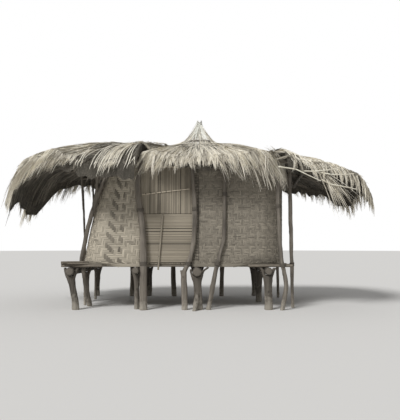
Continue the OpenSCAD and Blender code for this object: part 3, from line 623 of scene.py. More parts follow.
class GRANARY_OT_stage(bpy.types.Operator):
    """Sets up the camera at the photograph's viewpoint, the floor, the backdrop and the lights"""

    bl_idname = "granary.set_stage"
    bl_label = "Set Stage"

    def execute(self, context):
        settings = context.scene.granary_stage
        camera_data = bpy.data.cameras.new("Camera")
        camera_data.lens = settings.lens
        camera = bpy.data.objects.new("Camera", camera_data)
        camera.location = settings.camera_place
        camera.rotation_euler = (math.pi / 2 + settings.camera_pitch, 0, 0)
        sun_data = bpy.data.lights.new("Key", "SUN")
        sun_data.energy = settings.sun
        sun_data.angle = settings.sun_width
        sun = bpy.data.objects.new("Key", sun_data)
        sun.rotation_euler = settings.sun_turn
        for made in (camera, sun):
            context.scene.collection.objects.link(made)
        context.scene.camera = camera
        context.scene.view_settings.view_transform = "Standard"
        self.light_sky(context, settings)
        self.lay_floor(context, settings)
        return {"FINISHED"}

    def light_sky(self, context, settings):
        """An even grey sky that the camera and mirrors see as white."""
        world = bpy.data.worlds.new("Sky")
        world.use_nodes = True
        context.scene.world = world
        tree = world.node_tree
        sky = tree.nodes["Background"]
        seen = add(tree, "ShaderNodeLightPath", {}).outputs
        either = calculate(tree, "MAXIMUM", seen["Is Camera Ray"], seen["Is Glossy Ray"])
        either = calculate(tree, "MAXIMUM", either, seen["Is Transmission Ray"])
        sky.inputs["Color"].default_value = (1, 1, 1, 1)
        join(tree, between(tree, either, 0.0, 1.0, settings.sky, 1.0), sky.inputs["Strength"])

    def lay_floor(self, context, settings):
        """A plain round floor."""
        mesh = bpy.data.meshes.new("Floor")
        angles = np.arange(FLOOR_SIDES) * 2 * math.pi / FLOOR_SIDES
        rim = [(FLOOR_RADIUS * math.cos(a), FLOOR_RADIUS * math.sin(a), 0) for a in angles]
        mesh.from_pydata(rim, [], [range(FLOOR_SIDES)])
        floor = bpy.data.objects.new("Floor", mesh)
        context.scene.collection.objects.link(floor)
        material = bpy.data.materials.new("Floor")
        material.use_nodes = True
        shader = material.node_tree.nodes["Principled BSDF"]
        shader.inputs["Base Color"].default_value = (*settings.floor, 1)
        shader.inputs["Roughness"].default_value = 0.9
        shader.inputs["Specular IOR Level"].default_value = 0.0
        mesh.materials.append(material)


class GRANARY_OT_poles(bpy.types.Operator):
    """Finishes the poles, laths, ribs and reeds that keep their CAD shape"""

    bl_idname = "granary.finish_poles"
    bl_label = "Finish Poles and Reeds"

    def execute(self, context):
        wood = context.scene.granary_wood
        dark = shade(wood.pole, 0.8)
        dress(LEVEL_POLES, finish_round_wood("Level_Poles", wood.pole, (0.06, 1.0, 1.0)))
        dress(("panel_laths",), finish_laths(wood.reed))
        dress(RIBS, finish_round_wood("Ribs", dark, (1.0, 0.08, 0.3)))
        dress(("cap_frame",), finish_round_wood("Cap_Rafters", dark, (0.2, 0.2, 0.2)))
        for node, name, stretch, across in (
                ("upper_reed_panel", "Upright_Reeds", (1.0, 1.0, 0.03), "X"),
                ("lower_reed_panel", "Level_Reeds", (0.03, 1.0, 1.0), "Z"),
                ("reed_floor", "Floor_Reeds", (1.0, 0.03, 1.0), "X")):
            dress((node,), finish_reeds(name, wood.reed, stretch, across))
        return {"FINISHED"}


class WallSheet:
    """The outer face of one mat, unrolled: u along the wall and v up it, both from 0 to 1."""

    RAYS = 420  # shot at the mat at each height
    FAR = 6.0  # metres from the granary's axis at which they start
    INSET = 0.004  # metres that the foot and the top of the face stay off the mat's edges

    def __init__(self, name, columns=220, rows=56):
        tree = search_tree(name)
        low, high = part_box(name)
        corners = np.array([vertex.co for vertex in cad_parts[name].data.vertices])
        x, y, _ = corners.T
        middle = math.atan2(y.mean(), x.mean())
        turn = (np.arctan2(y, x) - middle + math.pi) % (2 * math.pi) - math.pi
        angles = middle + np.linspace(turn.min(), turn.max(), self.RAYS)
        ways = [(math.cos(angle), math.sin(angle)) for angle in angles]
        self.foot, self.top = low[2] + self.INSET, high[2] - self.INSET
        lines, lengths = [], []
        for z in np.linspace(self.foot, self.top, rows):
            hits = [tree.ray_cast(Vector((self.FAR * x, self.FAR * y, z)), Vector((-x, -y, 0)),
                                  self.FAR)[0] for x, y in ways]
            line = np.array([hit for hit in hits if hit is not None])
            if len(line) < 2:
                line = lines[-1] + [0, 0, (self.top - self.foot) / (rows - 1)]
            lines.append(evened(line, columns))
            lengths.append(walked(line)[-1])
        self.grid = np.array(lines)
        self.length, self.height = float(np.mean(lengths)), self.top - self.foot
        self.out = unit(np.cross(np.gradient(self.grid, axis=1), np.gradient(self.grid, axis=0)))

    def at(self, u, v, lift=0.0):
        """Points over the face at u, v, raised by lift in metres."""
        rows, columns = self.grid.shape[:2]
        x, y = np.clip(u, 0, 1) * (columns - 1), np.clip(v, 0, 1) * (rows - 1)
        i, j = np.minimum(x.astype(int), columns - 2), np.minimum(y.astype(int), rows - 2)
        a, b = (x - i)[..., None], (y - j)[..., None]
        out = unit(mixed(self.out, i, j, a, b))
        return mixed(self.grid, i, j, a, b) + out * np.asarray(lift)[..., None]


def runs(on_top):
    """Runs of True along each column of a table: (column, first, last + 1) of every run."""
    edge = np.diff(np.pad(on_top.astype(np.int8), ((1, 1), (0, 0))), axis=0)
    columns, first = np.nonzero(edge.T == 1)
    _, last = np.nonzero(edge.T == -1)
    return columns, first, last


def fold(steps, turn):
    """Counts up and down again, turning back every so many steps."""
    return np.abs((steps % (2 * turn)) - turn)


def weave_strips(sheet, pitch, relief, pattern, bark_and_shadow, seed):
    """Points, quads and tones of all strips where they pass over the others.

    pattern gives the phase of the weave where level strips i and upright strips j cross: the
    upright one is on top in three phases of six. bark_and_shadow gives each float's share of dark:
    the bark side, and a painted shadow at one mat's foot."""
    draw = np.random.default_rng(seed)
    uprights, levels = int(sheet.length / pitch), int(sheet.height / pitch)
    i, j = np.mgrid[0:levels, 0:uprights]
    on_top = pattern(i, j) % 6 < 3
    rows, cols = len(FLOAT_STATIONS), len(STRIP_SIDES)
    parts = []
    for upright in (True, False):
        strip, start, stop = runs(on_top if upright else ~on_top.T)
        across, along = (uprights, levels) if upright else (levels, uprights)
        begin, end = (start - FLOAT_TUCK) / along, (stop + FLOAT_TUCK) / along
        way = begin[:, None] + (end - begin)[:, None] * FLOAT_STATIONS
        rise = FLOAT_RISE * relief * draw.uniform(0.75, 1.15, (len(strip), 1)) + 0.002
        width = draw.uniform(0.80, 0.95, across)[strip][:, None, None] / across
        sway = draw.normal(0, 0.05, (len(strip), 1)) / across
        centre = (strip[:, None] + 0.5) / across + sway
        cross = centre[..., None] + width * STRIP_SIDES
        lift = rise[..., None] + FLOAT_ARCH * relief
        way, cross = np.broadcast_to(way[..., None], lift.shape), np.broadcast_to(cross, lift.shape)
        u, v = (cross, way) if upright else (way, cross)
        points = sheet.at(u, v, lift).reshape(-1, 3)
        quads = grid_faces(len(strip), rows, cols)
        own = draw.uniform(0.15, 0.85, across)[strip] + draw.normal(0, 0.13, len(strip))
        middles = points.reshape(-1, rows * cols, 3)[:, rows * cols // 2]
        bark = bark_and_shadow(middles, u[:, rows // 2, cols // 2], upright, draw)
        tone = np.column_stack([own.clip(0, 1), np.full(len(strip), float(upright)), bark])
        tones = np.repeat(tone, rows * cols, axis=0)
        parts.append((points, quads if upright else quads[:, ::-1], tones))
    return gathered(parts)


def lay_bands(sheet, bands, width, lift, tone, rows):
    """Flat bands over the face, all of one tone; each runs from (u, v) to (u, v)."""
    bands = np.array(bands)
    share = np.linspace(0, 1, rows)[:, None]
    way = bands[:, None, :2] * (1 - share) + bands[:, None, 2:] * share
    level = np.abs(bands[:, 2] - bands[:, 0]) > np.abs(bands[:, 3] - bands[:, 1])
    side = STRIP_SIDES * width
    u = way[..., :1] + np.where(level, 0, 1)[:, None, None] * side / sheet.length
    v = way[..., 1:] + np.where(level, 1, 0)[:, None, None] * side / sheet.height
    rise = np.broadcast_to(lift + BAND_ARCH, u.shape)
    points = sheet.at(u, v, rise).reshape(-1, 3)
    quads = grid_faces(len(bands), rows, len(STRIP_SIDES))
    turned_back = np.repeat(level, (rows - 1) * 2)
    quads[turned_back] = quads[turned_back][:, ::-1]
    return points, quads, np.tile(tone, (len(points), 1))


class GRANARY_OT_mats(bpy.types.Operator):
    """Weaves the cane strips over the eight mats, in twill on the left, in diamonds on the right"""

    bl_idname = "granary.weave_mats"
    bl_label = "Weave Mats"

    def execute(self, context):
        mats = context.scene.granary_mats
        for names, pitch, base, pattern, slot in (
                (LIGHT_MATS, mats.strip_light, mats.light, self.twill, "cane_mat_light"),
                (DARK_MATS, mats.strip_dark, mats.dark, self.diamonds, "cane_mat_dark")):
            # the mats under the strips are painted dark, as the shade behind the strips
            dress(names, finish_mat_painted_shade(slot + "_ground_painted_shade", base))
            strips = finish_cane(slot + "_strips", mats, base)
            for k, name in enumerate(names):
                sheet = WallSheet(name)
                foot = 0.03 / sheet.height
                parts = [weave_strips(sheet, pitch, mats.relief, pattern, self.bark_and_shadow(name),
                                      seed=SEEDS["strips"] + k),
                         lay_bands(sheet, [(0, foot, 1, foot)], width=0.06, lift=0.013,
                                   tone=(0.45, 0, 0.15), rows=60)]
                if name in DARK_MATS:
                    shown = name == "mat_front_right"
                    slits = SLITS if shown else self.more_slits(SEEDS["slits"] + k)
                    bands = [self.slit_band(sheet, slit) for slit in slits]
                    parts.append(lay_bands(sheet, bands, width=0.016, lift=0.011,
                                           tone=(0.2, 0, 1.0), rows=8))
                points, quads, tones = gathered(parts)
                mesh_piece("strips_" + name, points, quads, strips, tones)
        return {"FINISHED"}

    @staticmethod
    def twill(i, j):
        """Twill that falls to the right, but rises over a few uprights in the middle of the mat."""
        uprights = j.shape[1]
        first, second = (int(share * uprights) for share in TWILL_TURNS)
        rising, beyond = 2 * first - j, 2 * first - 2 * second + j
        return i + np.where(j < first, j, np.where(j < second, rising, beyond))

    @staticmethod
    def diamonds(i, j):
        """Diamonds nested in one another."""
        return fold(i, DIAMOND[0]) + fold(j, DIAMOND[1])

    @staticmethod
    def slit_band(sheet, slit):
        """A slit's band from its x, length and height above the ground."""
        x, length, height = slit
        start, v = x - DOOR_EDGE, (height - sheet.foot) / sheet.height
        return start / sheet.length, v, (start + length) / sheet.length, v

    @staticmethod
    def more_slits(seed):
        """Slits for the mats that the photograph doesn't show."""
        draw = np.random.default_rng(seed)
        return [(DOOR_EDGE + draw.uniform(0.1, 1.3), draw.uniform(0.11, 0.18),
                 draw.uniform(1.1, 2.7)) for _ in range(7)]

    @staticmethod
    def bark_and_shadow(name):
        """Where the strips of a mat show the bark side, and a painted shadow low on the front right
        mat, just over the platform.
        """
        def share(places, u, upright, draw):
            some = (draw.random(len(u)) < 0.05) * draw.uniform(0.2, 0.6, len(u))
            if name == "mat_front_left" and upright:
                dark = ((u > 0.335) & (u < 0.50)) | ((u > 0.60) & (u < 0.668))
                some = np.maximum(some, dark * draw.uniform(0.6, 1.0, len(u)))
            # a painted shadow at the foot of the front right mat, where the platform meets it
            if name == "mat_front_right":
                far = np.hypot((places[:, 0] - 1.42) / 0.30, (places[:, 2] - 0.98) / 0.12)
                some = np.maximum(some, np.clip(1.25 - far, 0, 1) * draw.uniform(0.7, 1.0, len(u)))
            return some
        return share


def neighbours(table):
    """A table moved by one step each way along both its axes."""
    return np.stack([np.roll(table, way, axis) for axis in (0, 1) for way in (-1, 1)])


class Hill:
    """Heights over the plan, seen from above, or from below for an underside, on a square grid."""

    ABOVE, BELOW = 6.0, 0.5  # heights at which the rays start
    FAR = 7.0  # metres that each ray goes

    def __init__(self, nodes, step=0.04, below=False):
        tree = search_tree(*nodes)
        boxes = np.array([[list(corner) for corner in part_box(name)] for name in nodes])
        self.low, high = boxes[:, 0].min(axis=0)[:2] - step, boxes[:, 1].max(axis=0)[:2] + step
        self.step = step
        columns, rows = np.ceil((high - self.low) / step).astype(int) + 1
        start, way = (self.BELOW, Vector((0, 0, 1))) if below else (self.ABOVE, Vector((0, 0, -1)))
        self.heights = np.full((rows, columns), np.nan)
        for r in range(rows):
            for c in range(columns):
                place = Vector((self.low[0] + c * step, self.low[1] + r * step, start))
                hit = tree.ray_cast(place, way, self.FAR)[0]
                if hit is not None:
                    self.heights[r, c] = hit.z
        self.covered = ~np.isnan(self.heights)

    def at(self, x, y):
        """Heights at x, y; nan beside the thatch."""
        c, r = (x - self.low[0]) / self.step, (y - self.low[1]) / self.step
        rows, columns = self.heights.shape
        c, r = np.clip(c, 0, columns - 1.001), np.clip(r, 0, rows - 1.001)
        i, j = c.astype(int), r.astype(int)
        return mixed(self.heights, i, j, c - i, r - j)

    def nearest(self, table, plan):
        """Values of a table on the grid at the grid points nearest to plan points (..., 2)."""
        cell = ((plan - self.low) / self.step).round().astype(int)
        last_row, last_column = np.array(table.shape) - 1
        return table[cell[..., 1].clip(0, last_row), cell[..., 0].clip(0, last_column)]

    def front_edge(self, x):
        """The front limit of the thatch in y at each x."""
        places = self.low[0] + np.arange(self.heights.shape[1]) * self.step
        edges = self.low[1] + self.covered.argmax(axis=0) * self.step
        return np.interp(x, places, np.where(self.covered.any(axis=0), edges, 0.0))

    def bridged(self, steps):
        """Closes the gaps up to so many grid steps wide on either side, and marks them in gaps."""
        heights = np.pad(self.heights, steps, constant_values=np.nan)
        covered = ~np.isnan(heights)
        for _ in range(steps):
            near = neighbours(heights)
            known = ~np.isnan(near)
            mean = np.where(known, near, 0).sum(axis=0) / np.maximum(known.sum(axis=0), 1)
            heights = np.where(np.isnan(heights) & known.any(axis=0), mean, heights)
        for _ in range(4):
            smooth = (heights + sum(neighbours(heights))) / 5
            heights = np.where(covered | np.isnan(smooth), heights, smooth)
        grown = ~np.isnan(heights)
        for _ in range(steps):
            grown &= neighbours(grown).all(axis=0)
        inner = slice(steps, -steps)
        self.gaps = (grown & ~covered)[inner, inner]
        self.covered = (grown | covered)[inner, inner]
        self.heights = np.where(self.covered, heights[inner, inner], np.nan)
        return self

    def random_points(self, density, draw):
        """Plan points spread over the thatch, so many to a square metre."""
        rows, columns = np.nonzero(self.covered)
        count = int(len(rows) * self.step ** 2 * density)
        pick = draw.integers(0, len(rows), count)
        x = self.low[0] + (columns[pick] + draw.uniform(-0.5, 0.5, count)) * self.step
        y = self.low[1] + (rows[pick] + draw.uniform(-0.5, 0.5, count)) * self.step
        return np.column_stack([x, y])

    def drape(self, plan, lift, droop):
        """Lines over plan points (n, k, 2), raised by lift; past the edge they go on and droop."""
        z = self.at(plan[..., 0], plan[..., 1])
        for k in range(z.shape[1]):
            before = z[:, max(k - 1, 0)]
            fall = before - z[:, k - 2] if k > 1 else np.zeros(len(z))
            z[:, k] = np.where(np.isnan(z[:, k]), before + fall - droop, z[:, k])
        good = ~np.isnan(z).any(axis=1)
        return np.concatenate([plan, (z + lift)[..., None]], axis=-1), good


def outward(plan, ridge):
    """Plan directions away from a ridge, swept to its ends, and most so over the left front."""
    x, y = plan.T
    nearest = np.column_stack([np.clip(x, ridge.left, ridge.right), np.full(len(plan), ridge.y)])
    ways = unit(plan - nearest + 1e-6)
    ways[:, 0] += ridge.sweep * np.sign(x) * ramp(np.abs(x), 0.9, 1.0)
    ways[:, 0] -= 1.6 * ramp(-x, 1.7, 0.8) * ramp(-y, -0.8, 0.6)
    return unit(ways)


def turned(ways, angles):
    """Plan directions turned by angles."""
    c, s = np.cos(angles), np.sin(angles)
    return np.column_stack([ways[:, 0] * c - ways[:, 1] * s, ways[:, 0] * s + ways[:, 1] * c])


def straws_along(lines, widths, rolls, own, bleached):
    """Straws as ribbons; a point's tones are its straw's own, its way to the tip, and bleached."""
    count, stations = lines.shape[:2]
    points, quads = ribbons(lines, widths, rolls)
    tones = np.column_stack([np.repeat(own, stations), np.tile(np.linspace(0, 1, stations), count),
                             np.full(count * stations, bleached)])
    return points, quads, np.repeat(tones, 2, axis=0)


def straw_widths(thatch, draw, count, thinnest, thickest, taper):
    """Widths along so many straws, from thinnest to thickest times the usual one, with a taper."""
    return thatch.straw_width * draw.uniform(thinnest, thickest, (count, 1)) * np.asarray(taper)


def tufts(plan, ways, seed):
    """Share from 0 to 1 that gathers straws into long tufts: high on a tuft, low between two."""
    side = plan[:, 0] * -ways[:, 1] + plan[:, 1] * ways[:, 0]
    along = (plan * ways).sum(axis=1)
    turn = np.arctan2(ways[:, 1], ways[:, 0])
    spots = np.column_stack([side, along, turn]) * TUFTS
    return np.clip(0.5 + 0.75 * lattice_noise(spots, seed), 0, 1)


def lay_straws(hill, ridge, density, thatch, draw, lift=(0.002, 0.055), droop=0.01, longer=1.0,
               bleached=0.0, cover=None):
    """Straws that lie on the thatch from a random root down the slope, gathered in tufts; straws
    low between tufts get a darker tone, painted shade.

    lift is how far a straw's root and its tip stand off, droop how far it sinks at each step past
    the edge, and cover which share of the straws is left at plan points."""
    root = hill.random_points(density, draw)
    tuft = tufts(root, outward(root, ridge), SEEDS["tufts"])
    keep = draw.random(len(root)) < (0.35 + 0.65 * tuft) * (1.0 if cover is None else cover(root))
    root, tuft = root[keep], tuft[keep]
    count = len(root)
    over_ridge = draw.random(count) < 0.5 * np.exp(-((root[:, 1] - ridge.y) / 0.16) ** 2)
    turn = draw.normal(0, 0.13, count) + np.where(over_ridge, math.pi, 0)
    ways = turned(outward(root, ridge), turn)
    length = thatch.straw_length * longer * draw.uniform(0.45, 1.3, count)
    bend = turned(ways, draw.normal(0, 0.10, count))
    steps = np.linspace(0, 1, 10)
    probe = root[:, None] + ways[:, None] * (length[:, None] * steps)[..., None]
    inside = hill.nearest(hill.covered, probe)
    if cover is not None:
        left = cover(probe.reshape(-1, 2)).reshape(inside.shape)
        inside &= left > 0.95 * draw.random((count, 1))
    inside = np.cumprod(inside, axis=1).sum(axis=1) / len(steps)
    length = length * inside + draw.uniform(0.0, 0.05, count)
    t = np.linspace(0, 1, 4)
    reach = length[:, None] * t
    way = ways[:, None] * (1 - t[:, None] / 2) + bend[:, None] * t[:, None] / 2
    plan = root[:, None] + way * reach[..., None]
    rise = lift[0] + (lift[1] - lift[0]) * t * tuft[:, None] * draw.uniform(0.2, 1, (count, 1))
    rise = rise + np.sign(lift[1]) * draw.uniform(0, 0.012, (count, 1))
    lines, good = hill.drape(plan, rise, droop)
    lines = lines[good]
    # a straw's tone follows its tuft: low straws between tufts are painted darker as shade, with a
    # random tone of their own
    own = np.clip(0.9 * tuft + draw.normal(0.05, 0.16, count), 0, 1)[good]
    width = straw_widths(thatch, draw, len(lines), 0.5, 1.5, [0.8, 1, 0.9, 0.25])
    return straws_along(lines, width, draw.normal(0, 0.5, len(lines)), own, bleached)


def lay_strands(hill, starts, leads, hang, thatch, draw, straws, slant, spread=0.035,
                dullest=0.6, bleached=0.45):
    """Locks of so many straws that curve down the front slope from their starts and hang over it.

    leads is how far each lock goes along x on its way, slant how far it goes on for each metre that
    it hangs, spread how far apart its roots lie, and dullest the lowest tone of a lock."""
    count = len(starts) * straws
    base = np.repeat(starts, straws, axis=0) + draw.normal(0, 1, (count, 2)) * (spread, 0.12)
    lead = np.repeat(leads, straws) + draw.normal(0, 0.05, count)
    drop = np.repeat(hang, straws) * draw.uniform(0.3, 1.05, count)
    lock_tone = np.repeat(draw.uniform(dullest, 1.0, len(starts)), straws)
    t = np.linspace(0, 1, 7)
    middle = np.repeat(starts[:, 0], straws)[:, None]
    x = middle + (base[:, :1] - middle) * (1 - 0.6 * t) + lead[:, None] * np.sin(t * math.pi / 2)
    edge = hill.front_edge(x[:, -1])
    y = base[:, 1:] + (edge[:, None] + 0.05 - base[:, 1:]) * t
    z = hill.at(x, y)
    lift = draw.uniform(0.015, 0.06, (count, 1)) * (0.2 + t)
    fall = np.array([0.25, 0.6, 1.0])
    slant = np.repeat(np.broadcast_to(slant, len(starts)), straws)[:, None]
    x = np.hstack([x, x[:, -1:] + slant * np.array([0.4, 0.75, 1.0]) * drop[:, None]])
    y = np.hstack([y, y[:, -1:] - [0.08, 0.12, 0.13]])
    z = np.hstack([z + lift, z[:, -1:] - fall * drop[:, None]])
    lines = np.stack([x, y, z], axis=-1)
    good = ~np.isnan(lines).any(axis=(1, 2))
    lines = lines[good]
    own = np.clip(lock_tone + draw.normal(0, 0.1, count), 0, 1)[good]
    taper = np.interp(np.arange(lines.shape[1]), [0, 2, 7, 9], [0.6, 1, 1, 0.3])
    width = straw_widths(thatch, draw, len(lines), 0.5, 1.3, taper)
    return straws_along(lines, width, draw.uniform(-0.9, 0.9, len(lines)), own, bleached)


def rim_of(hill, centre, spacing, keep=None):
    """Points along the outer edge of the thatch at even spacing; keep tells which ones stay."""
    angles = np.linspace(-math.pi, math.pi, 1440, endpoint=False)
    reach = np.arange(5.2, 0.2, -0.015)  # from beyond the eaves inwards
    plan = centre + np.column_stack([np.cos(angles), np.sin(angles)])[:, None] * reach[:, None]
    covered = hill.nearest(hill.covered, plan)
    rim = plan[np.arange(len(angles)), covered.argmax(axis=1)]
    found = covered.any(axis=1)
    if keep is not None:
        found &= keep(rim)
    rim = rim[found]
    step = np.linalg.norm(np.diff(rim, axis=0), axis=1)
    way = np.concatenate([[0], np.cumsum(np.minimum(step, 0.1))])
    return rim[np.searchsorted(way, np.arange(0, way[-1], spacing))]


def hang_locks(hill, rim, ways, hang, thatch, draw, sweep, straws,
               spread=0.035, inward=0.5, dark=0.0):
    """Locks of so many straws that come over the rim and hang, drawn together towards their tips.

    hang is how far each lock hangs, sweep how far it leans along x for each metre that it hangs,
    inward how far inside the rim its straws begin, and dark how much painted shade darkens it."""
    count = len(rim) * straws
    base, out = np.repeat(rim, straws, axis=0), np.repeat(ways, straws, axis=0)
    drop = np.repeat(hang, straws) * draw.uniform(0.5, 1.05, count)
    side = np.column_stack([-out[:, 1], out[:, 0]])
    offset = draw.normal(0, spread, count)
    start = draw.uniform(0.10, inward, count)
    lean = draw.normal(0, 0.25, len(rim)) + sweep * -ways[:, 1]
    lean = np.repeat(lean, straws) + draw.normal(0, 0.07, count)
    lock_tone = np.repeat(draw.uniform(0.1, 1.0, len(rim)) ** 0.7, straws)
    over = np.array([-1.0, -0.35, 0.0, 0.06, 0.09, 0.09])
    reach = np.where(over < 0, over * start[:, None], over * (0.6 + drop[:, None] * 1.5))
    gather = np.array([1.0, 1.0, 0.95, 0.75, 0.5, 0.3])
    fall = np.array([0.0, 0.0, 0.03, 0.22, 0.6, 1.0])
    aside = offset[:, None] * gather + lean[:, None] * fall * drop[:, None]
    plan = base[:, None] + out[:, None] * reach[..., None] + side[:, None] * aside[..., None]
    inner = base - out * 0.06
    level = hill.at(inner[:, 0], inner[:, 1])
    z = hill.at(plan[..., 0], plan[..., 1])
    z = np.where(np.isnan(z) | (over >= 0), level[:, None] - 0.01, z)
    z += draw.uniform(0.005, 0.035, (count, 1)) * np.array([0.6, 1, 1, 0.5, 0, 0])
    z[:, 3:] -= draw.uniform(0.0, 0.09, (count, 1))
    z -= fall * drop[:, None]
    lines = np.concatenate([plan, z[..., None]], axis=-1)
    good = ~np.isnan(z).any(axis=1)
    lines = lines[good]
    own = np.clip(lock_tone - dark + draw.normal(0, 0.12, count), -0.45, 1)[good]
    width = straw_widths(thatch, draw, len(lines), 0.5, 1.3, [0.8, 1, 1, 1, 0.8, 0.3])
    return straws_along(lines, width, draw.uniform(-1.2, 1.2, len(lines)), own, 0.2 * (1 - dark))


def spire_top():
    """x, y and height of the spire's tip."""
    low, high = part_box("cap_spire")
    return (low[0] + high[0]) / 2, (low[1] + high[1]) / 2, high[2]


def thatch_materials(thatch):
    """The materials of the loose straws and of the imported straw under them, which is painted dark
    as shade, made when first asked for.
    """
    made = bpy.data.materials
    return (made.get("Straw") or finish_straw("Straw", thatch.dull, thatch.bright),
            made.get("Thatch_Bed_Painted_Shade") or finish_thatch_bed_painted_shade(thatch))


def straw_piece(name, material, *parts):
    """One piece made from several lots of straw."""
    points, quads, tones = gathered(parts)
    mesh_piece(name, points, quads, material, tones)


class GRANARY_OT_canopy(bpy.types.Operator):
    """Lays the loose straw on the wide canopy and hangs the locks from its eaves"""

    bl_idname = "granary.thatch_canopy"
    bl_label = "Thatch Canopy"

    def execute(self, context):
        thatch = context.scene.granary_thatch
        draw = np.random.default_rng(SEEDS["canopy"])
        straw, bed_painted_shade = thatch_materials(thatch)
        # the imported canopy is painted very dark, as the shade under and between the loose straws
        dress(CANOPY, bed_painted_shade)
        hill = Hill(CANOPY)
        laid = lay_straws(hill, CANOPY_RIDGE, thatch.straws_per_m2, thatch, draw, cover=self.cover)
        strands = self.front_strands(hill, thatch, draw)
        wing = self.left_wing(hill, thatch, draw)
        straw_piece("canopy_straw", straw, laid, *strands, wing)
        straw_piece("canopy_locks", straw, *self.eaves(hill, thatch, draw))
        # the underside straws are painted dark as shade: a bleached value below zero darkens them
        # past any weathered straw
        under = lay_straws(Hill(CANOPY, 0.05, below=True), CANOPY_RIDGE, thatch.straws_per_m2 / 2,
                           thatch, draw, lift=(-0.004, -0.03), droop=0.0, bleached=-2.0)
        straw_piece("canopy_underside", straw, under)
        return {"FINISHED"}

    @staticmethod
    def cover(plan):
        """Share of the straw left at plan points: much has slipped off left of the cap, so the
        painted shade of the imported straw shows there.
        """
        x, y = plan.T
        upper = 0.55 + 1.1 * ramp(-x, 1.6, 0.8)
        bare = ramp(-y, upper, 0.2) * ramp(x, -2.6, 0.2) * ramp(-x, -SLIPPED_TO, 0.1)
        return 1 - bare * np.where(x < -1.45, 0.96, 0.65)

    @staticmethod
    def front_strands(hill, thatch, draw):
        """Wisps over the bare slope, locks between it and the cap, and locks right of the cap."""
        hang = np.full(len(BARE_WISPS), 0.14)
        wisps = lay_strands(hill, BARE_WISPS[:, :2], BARE_WISPS[:, 2], hang, thatch, draw,
                            straws=8, slant=-0.3)
        x = np.arange(-1.62, -0.94, 0.085)
        leads = -np.minimum(draw.uniform(0.26, 0.40, len(x)), np.maximum(-1.0 - x, 0.03))
        starts = np.column_stack([x - leads, draw.uniform(-0.85, -0.65, len(x))])
        hang = draw.uniform(0.12, 0.32, len(x))
        inner = np.column_stack([np.arange(2.0, 2.6, 0.08), np.full(8, -1.3)])
        right = lay_strands(hill, inner, np.linspace(0.05, 0.3, 8), draw.uniform(0.12, 0.3, 8),
                            thatch, draw, straws=26, slant=0.5)
        left = lay_strands(hill, starts, leads, hang, thatch, draw, straws=22, slant=-0.35,
                           spread=0.020)
        return wisps, left, right

    @staticmethod
    def left_wing(hill, thatch, draw):
        """Long locks that sweep over the front eave of the left end and out to its tip."""
        x = np.arange(-3.14, -1.82, 0.034)
        starts = np.column_stack([x, hill.front_edge(x) + draw.uniform(0.45, 0.8, len(x))])
        leads = draw.uniform(-0.58, -0.42, len(x))
        tips = x - 0.5
        hang = np.interp(tips, [-3.7, -3.15, -2.8, -2.4], [0.50, 0.95, 0.72, 0.20])
        hang = hang * draw.uniform(0.75, 1.1, len(x))
        slant = np.interp(tips, [-3.6, -3.3, -2.9], [-0.15, -0.4, -0.75])
        return lay_strands(hill, starts, leads, hang, thatch, draw, straws=42, slant=slant,
                           spread=0.04, dullest=0.05, bleached=0.1)

    @staticmethod
    def eaves(hill, thatch, draw):
        """Locks round the eaves, a row behind them painted dark as shade, and shreds at the torn
        eave painted dark as shade.
        """
        rim = rim_of(hill, np.zeros(2), thatch.lock_spacing,
                     lambda p: (p[:, 1] > 0) | (p[:, 0] < -0.95) | (p[:, 0] > 1.35))
        ways = outward(rim, CANOPY_RIDGE)
        x, y = rim.T
        left, right, behind = ramp(-x, 1.9, 1.2), ramp(x, 2.9, 0.6), ramp(y, 0.0, 0.8)
        front_tip = ramp(-x, 2.6, 0.4) * ramp(-y, -0.4, 1.0)
        hang = draw.uniform(0.14, 0.32, len(rim))
        hang += 0.38 * left * behind * draw.uniform(0.5, 1, len(rim))
        hang += 0.20 * right - 0.08 * front_tip
        slipped = (y < -0.5) & (x > SLIPPED_FROM) & (x < SLIPPED_TO)
        torn = slipped & (x > TORN)
        # the shreds are painted nearly black, as the shaded underside seen at the torn eave
        straight_out = ways[torn] * (0.2, 0) + (0, -1)
        shreds = hang_locks(hill, rim[torn] + (0, 0.08), straight_out, hang[torn] * 0.8, thatch,
                            draw, sweep=-0.5, straws=14, spread=0.05, inward=0.2, dark=0.98)
        sweep = np.where(x > 0, 0.35, -0.25 - 0.65 * left)
        rim, ways, hang, sweep = rim[~slipped], ways[~slipped], hang[~slipped], sweep[~slipped]
        locks = hang_locks(hill, rim, ways, hang, thatch, draw, sweep, thatch.lock_straws)
        # the row behind the locks is painted dark, as the shade behind them
        back = hang_locks(hill, rim[::2], ways[::2], hang[::2] * 0.7, thatch, draw, sweep[::2],
                          thatch.lock_straws // 2, spread=0.07, inward=0.12, dark=0.8)
        return locks, back, shreds


